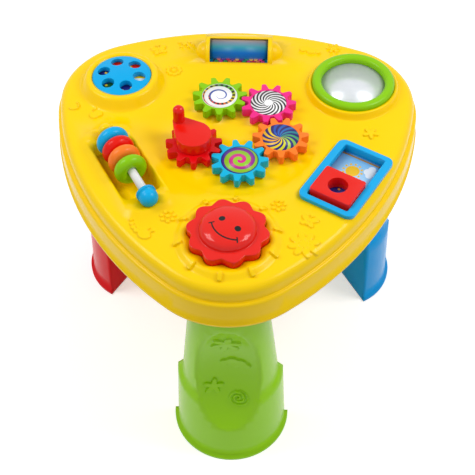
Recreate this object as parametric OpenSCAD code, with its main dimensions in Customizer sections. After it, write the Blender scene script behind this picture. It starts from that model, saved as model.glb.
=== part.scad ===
// Musical activity table for toddlers: a three-cornered play top on three half-cone legs.
// Millimetres, Z up, the origin on the floor under the middle of the table's bounding box.

/* [Top shell] */
// From the middle of the top to the shoulder at a corner
corner_reach = 203.5; // [198:0.5:210]
// Radius of the corners, seen from above
corner_r = 86; // [80:1:90]
// Half the angle that a corner's arc turns through
corner_half = 37.4; // [36.5:0.1:38]
// Height of the play surface above the floor
surface_z = 304; // [270:1:340]
// Height of the top shell, from its rim to the play surface
top_h = 48; // [44:1:60]
// Wall thickness of the top shell
wall = 2.6; // [2:0.1:3.2]
// Radius of the shoulder between the play surface and the side
shoulder_r = 9; // [7:0.5:11]
// Depth of the ledge below the play surface
ledge_drop = 18; // [16:0.5:22]
// How far the ledge stands out from the shoulder
ledge_w = 4.2; // [4:0.1:5]
// How far the skirt stands out at its foot
skirt_out = 5.2; // [4.8:0.1:6]
// How far the lip stands out at the foot of the skirt
lip_out = 6.4; // [5.8:0.1:8]
// Height of that lip
lip_h = 3; // [2:0.5:5]
// From the middle of the top to the dial, the mirror and the sun
feature_r = 141.8; // [138:0.2:143]

/* [Gears] */
// Distance between the centres of two meshing gears
gear_pitch = 52; // [50:0.5:54]
// Number of teeth
teeth = 11; // [11:1:11]
// Height of a tooth above the pitch circle
addendum = 2.67; // [2.2:0.1:3]
// Depth of a gap below the pitch circle
dedendum = 5; // [4:0.5:6]
// Width of a tooth at its root
tooth_root_w = 8.2; // [6:0.2:8.4]
// Width of a tooth at its tip
tooth_tip_w = 5; // [4:0.2:5.2]
// Rounding at the corners of a tooth
tooth_round = 1.6; // [0.8:0.2:1.8]
// Height of a gear
gear_h = 9.5; // [8.5:0.5:12]
// Gap left between the tips of the first gear and the last
gear_gap = 16.8; // [12:0.4:20]
// Middle of that circle, along X
gear_ring_x = 1.3; // [-1:0.1:3]
// Middle of that circle, along Y
gear_ring_y = -0.4; // [-2:0.1:1]
// Direction of the orange gear from that middle
gear_ring_turn = 342.3; // [335:0.1:350]
// Direction of one tooth of the crank gear
gear_turn = 11; // [0:0.5:32]
// Room on the sunk floor round the gears
basin_gap = 8.4; // [7:0.2:9.4]
// Depth of the sunk floor
basin_d = 1.5; // [1:0.1:2]
// Radius of a gear post
post_r = 5; // [4:0.1:6]
// Radius of the printed discs on the gears
label_r = 18.4; // [16:0.1:18.8]
// Thickness of the printed discs
label_t = 0.5; // [0.4:0.1:0.8]

/* [Crank handle] */
// Radius of the round part of the handle
handle_r = 18; // [16:0.1:19]
// Height of the handle plate
handle_h = 13; // [11:0.1:15]
// From the middle of the crank gear to the peg
crank_r = 24; // [21:0.5:26]
// Direction of the peg at rest
crank_turn = 130; // [0:0.5:360]
// Radius of the peg
peg_r = 5.8; // [5:0.1:6.6]
// Height of the peg above the handle plate, with its domed top
peg_h = 19; // [16:0.5:24]

/* [Sun button] */
// Number of lobes
sun_lobes = 10; // [10:1:10]
// Radius over the lobes
sun_r = 39.5; // [38:0.1:40]
// Radius of the notches between the lobes
sun_root_r = 34.5; // [33:0.1:35.5]
// Height of the lobed rim
sun_h = 9.2; // [8.6:0.1:10.4]
// Radius of the domed middle
sun_dome_r = 27.6; // [26:0.1:29]
// Height of the domed middle
sun_dome_h = 11.4; // [10.5:0.1:12.5]
// Travel of the button
sun_travel = 2.5; // [1.5:0.1:2.8]
// Radius of the stem
stem_r = 6; // [5:0.1:6.5]

/* [Dial] */
// Radius of the dial
dial_r = 31.5; // [30:0.1:33]
// Height of the dial
dial_h = 7.5; // [7:0.1:8.5]
// Radius of a finger hole
finger_r = 6.6; // [6:0.1:7]
// From the middle of the dial to a finger hole
finger_ring_r = 19.5; // [18.5:0.1:20.5]
// Number of finger holes
finger_holes = 6; // [4:1:6]
// Direction of the first finger hole
finger_turn = -10.3; // [-30:0.1:30]

/* [Mirror] */
// Outer radius of the ring
mirror_ring_r = 43.5; // [42:0.1:44]
// Inner radius of the ring
mirror_view_r = 33.5; // [32:0.1:34]
// Height of the ring
mirror_ring_h = 9.5; // [8:0.5:11]
// Thickness of the mirror
mirror_t = 2; // [1.5:0.1:3]

/* [Roller] */
// Place of the roller behind the middle of the top
roller_y = 125.4; // [124:0.2:127]
// Depth of the roller's axis below the play surface
roller_drop = 1.5; // [1:0.1:2.5]
// Outer radius of the housing
housing_r = 20.4; // [20:0.1:21]
// Length of the housing
housing_l = 73; // [72:0.5:76]
// Wall thickness of the housing
housing_wall = 1.9; // [1.6:0.1:2]
// Length of the window in the housing
window_l = 63; // [60:0.5:65]
// Radius of the two domes at the ends of the housing
end_dome_r = 13; // [12.6:0.1:13.4]
// Outer radius of the drum
drum_r = 17.5; // [16.5:0.1:17.6]
// Wall thickness of the drum
drum_wall = 1.6; // [1.2:0.1:2]
// Radius of the drum's axle stubs
axle_r = 4; // [3.5:0.1:4.2]
// Radius of a bead in the drum
bead_r = 2.3; // [2:0.1:2.6]

/* [Ring rod] */
// From the middle of the top to the rod
rod_v = 118; // [117:0.2:119]
// Height of the rod above the play surface
rod_up = 9.5; // [9:0.1:10.5]
// Radius of the rod
rod_r = 4.2; // [3.5:0.1:4.4]
// Shift of the well from the middle of its side, towards the back
well_shift = 6; // [5:0.2:7]
// Length of the well
well_l = 86; // [84:0.5:88]
// Width of the well
well_w = 42.5; // [40:0.5:43]
// Depth of the well below the play surface
well_d = 14; // [12:0.5:18]
// Width of the raised frame round the well
frame_w = 53.5; // [52:0.5:54]
// Length of the raised frame round the well
frame_l = 132; // [130:1:134]
// Height of the raised frame
frame_up = 3; // [2:0.1:3.4]
// Outer radius of a ring
ring_r = 16.8; // [15.5:0.1:17]
// Thickness of a ring
ring_t = 13.2; // [12:0.1:13.6]
// Radius of a ring's bore
ring_bore_r = 5; // [4.8:0.1:5.4]
// Radius of the dome knobs that hold the rod
knob_r = 9.4; // [9:0.1:9.8]

/* [Picture slider] */
// From the middle of the top to the middle of the slider
slider_v = 129; // [128:0.1:129.5]
// Shift of the slider from the middle of its side, towards the back
slider_shift = 2.3; // [1:0.1:3.4]
// Length of the frame
bezel_l = 91; // [90:0.1:92]
// Width of the frame
bezel_w = 61; // [60:0.1:61.6]
// Height of the frame above the play surface
bezel_up = 4.5; // [3.5:0.1:6]
// Length of the window
slot_l = 79.5; // [77:0.1:80]
// Width of the window
slot_w = 45; // [43:0.1:45.4]
// Length of the block
block_l = 35.5; // [33:0.5:36]
// Height of the block above the play surface
block_up = 9; // [7.5:0.5:12]
// Radius of the hole in the block
block_hole_r = 10; // [8:0.5:11]

/* [Legs] */
// From the middle of the top to the flat back of a leg
leg_v = 144.6; // [143:0.2:146]
// Radius of a leg at the floor
leg_foot_r = 61; // [56:0.5:62]
// Radius of a leg under the top
leg_top_r = 36.5; // [34:0.5:38]
// How far a leg leans out towards its top
leg_lean = 12.5; // [10:0.5:13]
// Radius of the wide lower tier where it ends
tier_r = 57; // [54:0.5:58]
// Height of the wide lower tier
tier_h = 97; // [85:1:105]
// Depth of the tier's sloped upper edge
tier_slope = 9; // [6:0.5:10]
// How far the foot lip stands out
foot_lip = 3.5; // [2:0.1:3.8]
// Height of the foot lip
foot_lip_h = 4; // [3:0.5:6]
// Wall thickness of a leg
leg_wall = 2.6; // [2:0.1:3]
// Depth of the egg-shaped dish in a leg
dish_d = 20; // [14:0.5:22]
// Height of the dish's middle above the floor
dish_z = 144; // [138:1:150]
// Upright radius of the dish's curve
dish_arc_r = 195; // [180:5:220]
// Level radius of the dish's curve
dish_r = 100; // [90:1:120]
// Length of the tenon in the cover's socket
tenon_h = 11.5; // [8:0.5:12]

/* [Bottom cover] */
// Thickness of the cover
cover_t = 2.5; // [2:0.1:3]
// Height of the cover above the rim of the top shell
cover_up = 1.5; // [1:0.1:3]
// Gap round the cover and round the tenons
cover_gap = 0.4; // [0.3:0.1:0.6]
// From the middle to the cover screws
case_screw_r = 166; // [162:0.5:167]

/* [Sound unit] */
// Radius of the speaker
speaker_r = 28.5; // [25:0.5:30]
// Place of the speaker behind the middle
speaker_y = 58; // [56:1:62]
// Radius of an AA cell
cell_r = 7.1; // [7:0.05:7.2]
// Length of an AA cell without its nub
cell_l = 49.2; // [48.5:0.1:49.6]
// Place of the battery case behind the middle
battery_y = -35; // [-37:1:-33]
// Length of the circuit board
board_l = 60; // [58:1:66]
// Width of the circuit board
board_w = 52; // [50:1:54]
// Thickness of the circuit board
board_t = 1.6; // [1:0.1:1.8]

/* [Fits] */
// Radial clearance of a running fit
run_gap = 0.06; // [0.04:0.01:0.1]
// Clearance round seated pieces
seat_gap = 0.3; // [0.2:0.05:0.35]
// Radial clearance of pressed and screwed pieces
press_gap = 0.05; // [0.03:0.01:0.08]
// Radius of the small screws
screw_r = 1.5; // [1.3:0.1:1.7]

/* [Hidden] */
$fn = 72;
eps = 0.5;
far = 400;

// The outline is six arcs that meet smoothly: three corners and three long sides.
// A corner's arc has its centre at corner_c, a side's arc at side_back behind the middle.
corner_c = corner_reach - corner_r;
side_half = 60 - corner_half;
side_back = corner_c * sin(corner_half) / sin(side_half);
side_r = corner_r + corner_c * sin(60) / sin(side_half);
side_reach = side_r - side_back;
side_hub_r = side_back - 60;
y_shift = (corner_reach - side_reach) / 2;

// Directions from the middle of the top
front_corner = 270;
left_corner = 150;
right_corner = 30;
left_side = 210;
right_side = 330;

// Heights of the shells
plate_z = surface_z - wall;
rim_z = surface_z - top_h;
cover_z = rim_z + cover_up;
cover_top_z = cover_z + cover_t;
ledge_z = surface_z - ledge_drop;
valley_r = 1;
ledge_r = ledge_w - valley_r - 0.2;

// Screws
head_r = 3.2;
head_h = 2.2;
pilot_r = screw_r + press_gap;
pass_r = screw_r + seat_gap;
boss_r = 4.5;
recess_w = 0.7;
recess_d = 1.1;

// Gears
gear_base_z = surface_z - basin_d + 2.3;
gear_top_z = gear_base_z + gear_h;
tip_r = gear_pitch / 2 + addendum;
root_r = gear_pitch / 2 - dedendum;
gear_close = (2 * tip_r + gear_gap) / 4 / gear_pitch;
gear_step = 2 * acos(step_cos(gear_close, 0.85, 6));
gear_ring_r = gear_pitch / 2 / sin(gear_step / 2);
basin_r = gear_ring_r + tip_r + basin_gap;
tooth_step = 360 / teeth;
washer_r = 8;
washer_t = 1;
gear_web = 5;
gear_screw_l = 12;
post_boss_h = 12;
handle_pin_r = 2;
handle_pin_h = 3;
handle_pin_ring_r = 14;
tail_gap = 0.5;

// Sun button
sun_mound_h = 4.3;
sun_cup_gap = 0.8;
sun_mound_r = sun_r + 4.6;
sun_foot_r = sun_mound_r + 8.5;
sun_wall = 2.4;
sun_base_z = surface_z + sun_travel + 0.8;
sun_top_z = sun_base_z + sun_h;
dome_edge_r = 8;
spring_seat_z = sun_top_z + 1;
spring_r = 8.3;
spring_wire_r = 0.7;
spring_turns = 4;
spring_cup_r = spring_r + spring_wire_r + 1.4;
guide_l = 18;
guide_z = surface_z - guide_l;
clip_t = 1.2;
clip_groove = 1.4;
clip_r = stem_r + 2.5;
stem_z = guide_z - 4.5;
pad_t = 3;
pad_r = 5;
pad_stud_r = 2;
board_top_z = stem_z - pad_t - sun_travel - 0.2;
board_z = board_top_z - board_t;
board_y = -feature_r + 13.8;

// Dial
dial_mound_h = 12.5;
dial_cup_r = dial_r + 0.4;
dial_mound_r = dial_cup_r + 4.1;
dial_foot_r = dial_mound_r + 10.8;
dial_floor_z = surface_z + 7.4;
dial_base_z = dial_floor_z + 1.1;
dial_top_z = dial_base_z + dial_h;
dial_edge = 2.2;
dial_crown = 4;
dial_web = 2.4;
dial_boss_h = 8;
dial_axle_r = 4.2;
dial_axle_z = dial_floor_z - wall - dial_boss_h - 0.1;
picture_t = 0.6;

// Mirror
mirror_mound_h = 8;
mirror_cup_r = mirror_ring_r + seat_gap;
mirror_mound_r = mirror_cup_r + 2.2;
mirror_foot_r = mirror_mound_r + 4.5;
mirror_floor_z = surface_z + 4;
mirror_rebate_r = mirror_view_r + 1.7;
mirror_screw_ring_r = mirror_rebate_r + 4;

// Roller
roller_z = surface_z - roller_drop;
cavity_r = housing_r - housing_wall;
cheek_t = 2;
cheek_x = housing_l / 2 - cheek_t;
drum_half = cheek_x - 1;
cap_t = 2;
cap_lip = 3;
tube_half = drum_half - cap_t;
bearing_x = housing_l / 2 + 0.5;
bearing_t = 4;
bearing_w = 14;
bearing_up = 6;
bearing_drop = 9.4;
flange_l = 7;
flange_w = 36;
flange_t = 3;
bearing_screw_y = 14.5;
bearing_flange_z = roller_z - bearing_drop - flange_t;
bearing_flange_top_z = bearing_flange_z + flange_t;
dome_centre_x = housing_l / 2 - 1.5;
window_low = 11;
window_high = 97;

// Ring rod
rod_z = surface_z + rod_up;
well_z = surface_z - well_d;
frame_z = surface_z + frame_up;
collar_gap = 4;
collar_t = 2.5;
knob_l = 4.5;
collar_x = well_l / 2 + collar_gap;
knob_x = collar_x + collar_t + knob_l;
rest_r = 8.4;
rest_x0 = well_l / 2 + 2;
rest_x1 = rest_x0 + 3.5;
rod_sink = 5;
mount_peg_r = 4;
mount_peg_x = [1 - knob_x, rest_x0 + 5];
ring_spacing = [38.5, 24.3, 10, -5.5];
well_corner_r = 9;
frame_corner_r = 13;
frame_slope = 2.5;

// Picture slider
bezel_z = surface_z + bezel_up;
block_gap = 4;
block_w = slot_w - 2 * 0.6;
channel_w = slot_w + 6;
channel_drop = 2;
skirt_wall = 2;
skirt_drop = 7;
slider_skirt_l = slot_l + 2 * skirt_wall;
slider_skirt_w = channel_w + 2 * skirt_wall;
slider_plate_t = 2;
slider_plate_z = surface_z - skirt_drop;
block_flange_w = channel_w - 1.2;
block_z = slider_plate_z + slider_plate_t + 0.3;
block_wall = 2.2;
seat_drop = 2;
ridge_l = 14;
ridge_out = 0.7;
ridge_h = 1.2;
bezel_round = 8;
slot_round = 2;

// Legs
leg_top_z = cover_z;
leg_tilt = atan(leg_lean / leg_top_z);
tenon_in = 3.5;
tenon_c = leg_lean;
tenon_r = leg_top_r - tenon_in;
leg_screw_x = 20;
leg_screw_l = 12;
dish_steps = 20;
dish_half_h = 125;

// Cover
cover_off = skirt_out - wall - cover_gap;
cover_wall = 2.4;
case_screw_l = 16;
battery_wall = 1.6;
cell_gap = 0.4;
cell_pitch = 2 * cell_r + cell_gap;
bay_l = cell_l + 10;
bay_w = 3 * cell_pitch + 2;
door_t = 2;
door_gap = 0.3;
door_ledge = 3;
cell_z = cover_z + door_t + 0.6 + cell_r;
bay_top_z = cell_z + cell_r + 0.8;
nub_r = 2.7;
nub_l = 1.3;
door_ear = 9;
contact_t = 0.5;
grille_r = 2;
speaker_seat_h = 4;
speaker_z = cover_top_z + 0.2;
switch_x = 50;
switch_y = -20;
switch_l = 16;
switch_w = 8;
switch_h = 7;
switch_travel = 4;
knob_w = 3;

// ---- Shared shapes ----

module centred() {
    translate([0, y_shift, 0]) children();
}

function unit(v) = v / norm(v);

function inward(a, b) = let (d = unit(b - a)) [d[1], -d[0]];

// The path moved inwards by a wall, with mitred corners
function inner_path(path, t) = let (last = len(path) - 1) [
    for (i = [0:last])
        let (
            n1 = inward(path[max(i - 1, 0)], path[max(i, 1)]),
            n2 = inward(path[min(i, last - 1)], path[min(i + 1, last)])
        )
        path[i] + t * (n1 + n2) / (1 + n1 * n2)
];

function reversed(list) = [for (i = [len(list) - 1:-1:0]) list[i]];

function arc(c, r, from, to, n) = [
    for (i = [0:n]) let (a = from + (to - from) * i / n) [c[0] + r * cos(a), c[1] + r * sin(a)]
];

function round_rect(l, w, r) = [
    for (k = [0:3])
        let (
            sx = (k == 0 || k == 3) ? 1 : -1,
            sy = k < 2 ? 1 : -1
        )
        each arc([sx * (l / 2 - r), sy * (w / 2 - r)], r, 90 * k, 90 * k + 90, 5)
];

// The cross-section of the shell's edge: shoulder, valley, ledge and skirt
edge_path = concat(
    [[-2 * shoulder_r, surface_z]],
    arc([-shoulder_r, surface_z - shoulder_r], shoulder_r, 90, 0, 6),
    arc([valley_r, ledge_z + valley_r], valley_r, 180, 270, 3),
    arc([ledge_w - ledge_r, ledge_z - ledge_r], ledge_r, 90, 0, 4),
    [[skirt_out, rim_z]]
);
lip_path = [[skirt_out, rim_z + lip_h], [lip_out, rim_z + lip_h], [lip_out, rim_z]];
edge_last = len(edge_path) - 1;

// The shell's section from the hub radius of its arc to the lip, for an arc of radius r
function shell_section(hub_r, r) = concat(
    [[hub_r - r, surface_z]],
    [for (i = [1:edge_last - 1]) edge_path[i]],
    lip_path,
    [for (i = [edge_last:-1:1]) inner_path(edge_path, wall)[i]],
    [[hub_r - r, plate_z]]
);

// A move in whole, then thousandth, then finer steps, so that neighbouring arcs meet exactly
module fine_move(v) {
    whole = [for (c = v) round(c)];
    thousandths = [for (c = v - whole) round(1000 * c) / 1000];
    translate(whole) translate(thousandths) translate(v - whole - thousandths) children();
}

function toward(a, r) = [r * cos(a), r * sin(a), 0];

// One arc of the outline about the point c: the section is swept half to each side of direction a
module swept_arc(c, r, a, half, section) {
    fine_move(c)
        rotate_extrude(angle = 2 * half, start = (a - half + 360) % 360,
            $fn = r > 2 * corner_r ? 240 : 120)
            fine_move([r, 0, 0])
                polygon(section);
}

module around_table() {
    for (k = [0:2]) {
        a_corner = front_corner - 120 * k;
        swept_arc(toward(a_corner, corner_c), corner_r, a_corner, corner_half,
            shell_section(0, corner_r));
        a_side = right_side - 120 * k;
        swept_arc(toward(a_side, -side_back), side_r, a_side, side_half,
            shell_section(side_hub_r, side_r));
    }
}

// A flat plate with the table's outline, moved out by off
module outline_plate(off, z, h) {
    for (k = [0:2]) {
        a_corner = front_corner - 120 * k;
        swept_arc(toward(a_corner, corner_c), corner_r, a_corner, corner_half,
            [[-corner_r, z], [off, z], [off, z + h], [-corner_r, z + h]]);
        a_side = right_side - 120 * k;
        swept_arc(toward(a_side, -side_back), side_r, a_side, side_half,
            [[side_hub_r - side_r, z], [off, z], [off, z + h], [side_hub_r - side_r, z + h]]);
    }
}

// Children placed at a corner feature, without being turned
module at_corner(a) {
    rotate([0, 0, a]) translate([feature_r, 0, 0]) rotate([0, 0, -a]) children();
}

// Children placed on the left side: X runs to the back, Y outwards
module on_left_side() {
    rotate([0, 0, left_side - 90]) translate([well_shift, rod_v, 0]) children();
}

// Children placed on the right side: X runs to the front, Y outwards
module on_right_side() {
    rotate([0, 0, right_side - 90]) translate([-slider_shift, slider_v, 0]) children();
}

// Children placed at a leg: X runs outwards from the flat back of the leg
module at_leg(a) {
    rotate([0, 0, a]) translate([leg_v, 0, 0]) children();
}

// Five equal steps of the chain leave the share k of four pitches between its ends,
// where 2 c^3 - c = k for the cosine c of half a step; n steps of Newton's method find it
function step_cos(k, c, n) = n == 0 ? c : step_cos(k, c - (2 * c * c * c - c - k) / (6 * c * c - 1), n - 1);

function gear_place(i) = let (a = gear_ring_turn + (i - 2) * gear_step)
    [gear_ring_x + gear_ring_r * cos(a), gear_ring_y + gear_ring_r * sin(a)];

// Tooth direction of each gear, so that a tooth of one stands in a gap of the next
function gear_phase(i) = i == 0
    ? gear_turn
    : let (
        d = gear_place(i) - gear_place(i - 1),
        b = atan2(d[1], d[0])
    )
    2 * b + 180 + tooth_step / 2 - gear_phase(i - 1);

module at_gear(i) {
    translate([gear_place(i)[0], gear_place(i)[1], 0]) children();
}

// A swelling that rises from the surface at r_base to the height h at r_top
function swell(r_base, r_top, h) = [
    for (i = [0:8]) let (t = i / 8) [r_base + (r_top - r_base) * t, h * (1 - cos(180 * t)) / 2]
];

module mound(r_base, r_top, h) {
    translate([0, 0, surface_z])
        rotate_extrude()
            polygon(concat([[0, -wall / 2], [r_base, -wall / 2]], swell(r_base, r_top, h), [[0, h]]));
}

module mound_hollow(r_base, r_top, h) {
    inset = 0.8 * wall;
    translate([0, 0, plate_z])
        rotate_extrude()
            polygon(concat(
                [[0, -eps], [r_base - inset, -eps]],
                swell(r_base - inset, r_top - inset, h),
                [[0, h]]
            ));
}

module disc(r, z, h) {
    translate([0, 0, z]) cylinder(r = r, h = h);
}

// A pan-head screw whose head rests on z = 0, its shank pointing down
module screw(l, r = screw_r) {
    difference() {
        union() {
            translate([0, 0, -l]) cylinder(r = r, h = l + head_h / 2, $fn = 24);
            cylinder(r1 = head_r, r2 = head_r - 0.6, h = head_h, $fn = 24);
        }
        translate([0, 0, head_h - recess_d]) linear_extrude(2 * recess_d) cross(2 * head_r * 0.62);
    }
}

module cross(l) {
    square([l, recess_w], center = true);
    square([recess_w, l], center = true);
}

// The same screw seen from below: its head hangs under z = 0, its shank points up
module screw_up(l, r = screw_r) {
    mirror([0, 0, 1]) screw(l, r);
}

// ---- Swept tubes ----

function side_way(t) = unit(cross(t, [0, 0, 1]));

function tangent(path, i) = unit(path[min(i + 1, len(path) - 1)] - path[max(i - 1, 0)]);

module tube(path, r, sides = 6) {
    n = len(path);
    points = [
        for (i = [0:n - 1])
            let (
                t = tangent(path, i),
                u = side_way(t),
                v = cross(t, u)
            )
            for (k = [0:sides - 1])
                let (a = 360 * k / sides) path[i] + r * (u * cos(a) + v * sin(a))
    ];
    walls = [
        for (i = [0:n - 2])
            for (k = [0:sides - 1])
                let (m = (k + 1) % sides)
                [i * sides + k, (i + 1) * sides + k, (i + 1) * sides + m, i * sides + m]
    ];
    start = [for (k = [0:sides - 1]) k];
    end = [for (k = [sides - 1:-1:0]) (n - 1) * sides + k];
    polyhedron(points = points, faces = concat([start], walls, [end]), convexity = 10);
}

// A smooth curve through the points of a route
function curve_point(p0, p1, p2, p3, t) = 0.5 * (2 * p1 + (p2 - p0) * t
    + (2 * p0 - 5 * p1 + 4 * p2 - p3) * t * t + (3 * p1 - p0 - 3 * p2 + p3) * t * t * t);

function smooth(path, n = 3) = let (last = len(path) - 1) concat(
    [
        for (i = [0:last - 1])
            for (k = [0:n - 1])
                curve_point(path[max(i - 1, 0)], path[i], path[i + 1], path[min(i + 2, last)], k / n)
    ],
    [path[last]]
);

// A helix about Z from radius r1 at z = 0 to radius r2 at height h
function helix(r1, r2, h, turns, per_turn) = [
    for (i = [0:turns * per_turn])
        let (
            t = i / (turns * per_turn),
            a = 360 * turns * t,
            r = r1 + (r2 - r1) * t
        )
        [r * cos(a), r * sin(a), h * t]
];

// ---- Top shell ----

module top_shell() {
    color("gold") centred() difference() {
        union() {
            difference() {
                union() {
                    around_table();
                    basin_floor();
                    top_mounds();
                    roller_housing();
                    well_frame();
                    slider_seat();
                }
                top_hollows();
            }
            top_cups();
            top_bosses();
        }
        gear_basin();
        pilot_holes();
        cup_recesses();
        well_openings();
        slider_openings();
        roller_cavity();
        roller_window();
        axle_slots();
        end_dome_hollow(-1);
        end_dome_hollow(1);
    }
}

module basin_floor() {
    translate([gear_ring_x, gear_ring_y, plate_z - basin_d])
        cylinder(r = basin_r + wall, h = basin_d + wall / 2, $fn = 120);
}

module top_mounds() {
    at_corner(left_corner) mound(dial_foot_r, dial_mound_r, dial_mound_h);
    at_corner(right_corner) mound(mirror_foot_r, mirror_mound_r, mirror_mound_h);
    at_corner(front_corner) mound(sun_foot_r, sun_mound_r, sun_mound_h);
}

module top_hollows() {
    at_corner(left_corner) mound_hollow(dial_foot_r, dial_mound_r, dial_mound_h);
    at_corner(right_corner) mound_hollow(mirror_foot_r, mirror_mound_r, mirror_mound_h);
    at_corner(front_corner) mound_hollow(sun_foot_r, sun_mound_r, sun_mound_h);
}

module roller_housing() {
    above_z = plate_z + wall / 2;
    translate([0, roller_y, 0]) {
        intersection() {
            translate([0, 0, roller_z]) rotate([0, 90, 0])
                cylinder(r = housing_r, h = housing_l, center = true);
            translate([-far / 2, -far / 2, above_z]) cube([far, far, far]);
        }
        for (sx = [-1, 1]) intersection() {
            translate([sx * dome_centre_x, 0, surface_z]) sphere(r = end_dome_r);
            translate([sx > 0 ? cheek_x + cheek_t / 2 : -cheek_x - cheek_t / 2 - far, -far / 2, above_z])
                cube([far, far, far]);
        }
    }
}

module well_frame() {
    on_left_side() hull() {
        translate([0, 0, plate_z + wall / 2])
            linear_extrude(wall / 2)
                polygon(round_rect(frame_l, frame_w, frame_corner_r));
        translate([0, 0, frame_z - 0.1])
            linear_extrude(0.1)
                polygon(round_rect(frame_l - 2 * frame_slope, frame_w - 2 * frame_slope,
                    frame_corner_r - frame_slope));
    }
}

// The slider's frame reaches past the shoulder, so it has a seat of its own
module slider_seat() {
    on_right_side()
        translate([0, 0, plate_z - seat_drop])
            linear_extrude(wall + seat_drop)
                polygon(round_rect(bezel_l - 1, bezel_w - 1, bezel_round - 0.5));
}

module top_cups() {
    at_corner(left_corner)
        disc(dial_cup_r + wall, dial_floor_z - wall, surface_z + dial_mound_h - 0.1 - dial_floor_z + wall);
    at_corner(left_corner) disc(2 * dial_axle_r, dial_floor_z - wall - dial_boss_h, dial_boss_h + eps);
    at_corner(right_corner)
        disc(mirror_mound_r - eps, mirror_floor_z - wall, surface_z + mirror_mound_h - mirror_floor_z);
    at_corner(front_corner) disc(stem_r + 3, guide_z, guide_l - eps);
    at_corner(front_corner) disc(sun_mound_r - eps, plate_z, sun_mound_h + wall / 2);
    on_left_side()
        translate([0, 0, well_z - wall])
            linear_extrude(well_d + wall - eps)
                polygon(round_rect(well_l + 2 * wall, well_w + 2 * wall, well_corner_r + wall));
    for (sx = [-1, 1])
        translate([sx * (cheek_x + cheek_t / 2), roller_y, roller_z - 5])
            cube([cheek_t, 22, 12], center = true);
}

module top_bosses() {
    for (i = [0:4]) at_gear(i) {
        disc(post_r + 3, plate_z - basin_d, gear_base_z - 0.1 - plate_z + basin_d);
        disc(post_r, plate_z, gear_base_z + gear_web + 0.1 - plate_z);
        disc(post_r + 2, plate_z - post_boss_h, post_boss_h + eps);
    }
    at_case_screws() disc(boss_r, cover_top_z, plate_z + eps - cover_top_z);
    at_board_screws() disc(boss_r, board_top_z, plate_z + eps - board_top_z);
    at_bearing_screws() disc(boss_r - 0.5, bearing_flange_top_z, plate_z + eps - bearing_flange_top_z);
}

module gear_basin() {
    difference() {
        translate([gear_ring_x, gear_ring_y, surface_z - basin_d])
            cylinder(r1 = basin_r - 1, r2 = basin_r + 1, h = basin_d + 0.01, $fn = 120);
        for (i = [0:4]) at_gear(i) disc(post_r + 3, plate_z, 4 * wall);
    }
}

module pilot_holes() {
    for (i = [0:4]) at_gear(i) disc(pilot_r, gear_base_z + gear_web - gear_screw_l, gear_screw_l + eps);
    at_case_screws() disc(pilot_r, cover_top_z - eps, case_screw_l);
    at_board_screws() disc(pilot_r, board_top_z - eps, 9);
    at_bearing_screws() disc(pilot_r, bearing_flange_top_z - eps, 6);
}

module cup_recesses() {
    at_corner(left_corner) disc(dial_cup_r, dial_floor_z, 2 * dial_mound_h);
    at_corner(left_corner) disc(dial_axle_r + run_gap, plate_z - 2 * dial_boss_h, 4 * dial_boss_h);
    at_corner(right_corner) disc(mirror_cup_r, mirror_floor_z, 2 * mirror_mound_h);
    at_mirror_screws() disc(pass_r, plate_z, 2 * mirror_mound_h);
    at_corner(front_corner)
        translate([0, 0, surface_z]) linear_extrude(2 * sun_mound_h) scallops(-sun_cup_gap);
    at_corner(front_corner) disc(stem_r + run_gap, guide_z - eps, 2 * guide_l);
}

module well_openings() {
    on_left_side() {
        translate([0, 0, well_z])
            linear_extrude(2 * well_d)
                polygon(round_rect(well_l, well_w, well_corner_r));
        for (x = mount_peg_x) translate([x, 0, 0]) disc(mount_peg_r + press_gap, plate_z - eps, 2 * well_d);
    }
}

module slider_openings() {
    on_right_side() {
        translate([0, 0, plate_z - seat_drop - eps])
            linear_extrude(3 * wall)
                square([slider_skirt_l + 2 * seat_gap, slider_skirt_w + 2 * seat_gap], center = true);
    }
}

module roller_cavity() {
    on_roller() cylinder(r = cavity_r, h = 2 * cheek_x, center = true);
}

module roller_window() {
    translate([-window_l / 2, roller_y, roller_z])
        rotate([90, 0, 90])
            linear_extrude(window_l)
                polygon(concat(
                    [[0, 0]],
                    arc([0, 0], 2 * housing_r, 180 - window_low, 180 - window_high, 2)
                ));
}

// Slots for the axle stubs, open below, so that the drum goes in from there
module axle_slots() {
    for (sx = [-1, 1]) translate([sx * (cheek_x + cheek_t / 2), roller_y, roller_z]) {
        translate([0, 0, -10]) cube([cheek_t + eps, 2 * (axle_r + seat_gap), 20], center = true);
        rotate([0, 90, 0]) cylinder(r = axle_r + 2 * seat_gap, h = cheek_t + eps, center = true);
    }
}

// Room for the bearing blocks inside the two end domes
module end_dome_hollow(sx) {
    hollow_l = bearing_t + 1;
    outer_x = housing_l / 2 + hollow_l - dome_centre_x;
    outer_r = sqrt(end_dome_r * end_dome_r - outer_x * outer_x) - housing_wall;
    translate([sx * housing_l / 2, roller_y, surface_z]) rotate([0, sx * 90, 0])
        cylinder(r1 = end_dome_r - housing_wall, r2 = outer_r, h = hollow_l);
}

module at_case_screws() {
    for (k = [0:5]) rotate([0, 0, 60 * k]) translate([case_screw_r, 0, 0]) children();
}

module at_board_screws() {
    for (sx = [-1, 1]) for (sy = [-1, 1])
        translate([sx * (board_l / 2 - 5), board_y + sy * (board_w / 2 - 4), 0]) children();
}

module at_bearing_screws() {
    for (sx = [-1, 1]) for (sy = [-1, 1])
        translate([sx * (bearing_x + flange_l / 2), roller_y + sy * bearing_screw_y, 0]) children();
}

module at_mirror_screws() {
    at_corner(right_corner) for (k = [0:2]) rotate([0, 0, 90 + 120 * k])
        translate([mirror_screw_ring_r, 0, 0]) children();
}

// ---- Gears and crank ----

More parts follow.
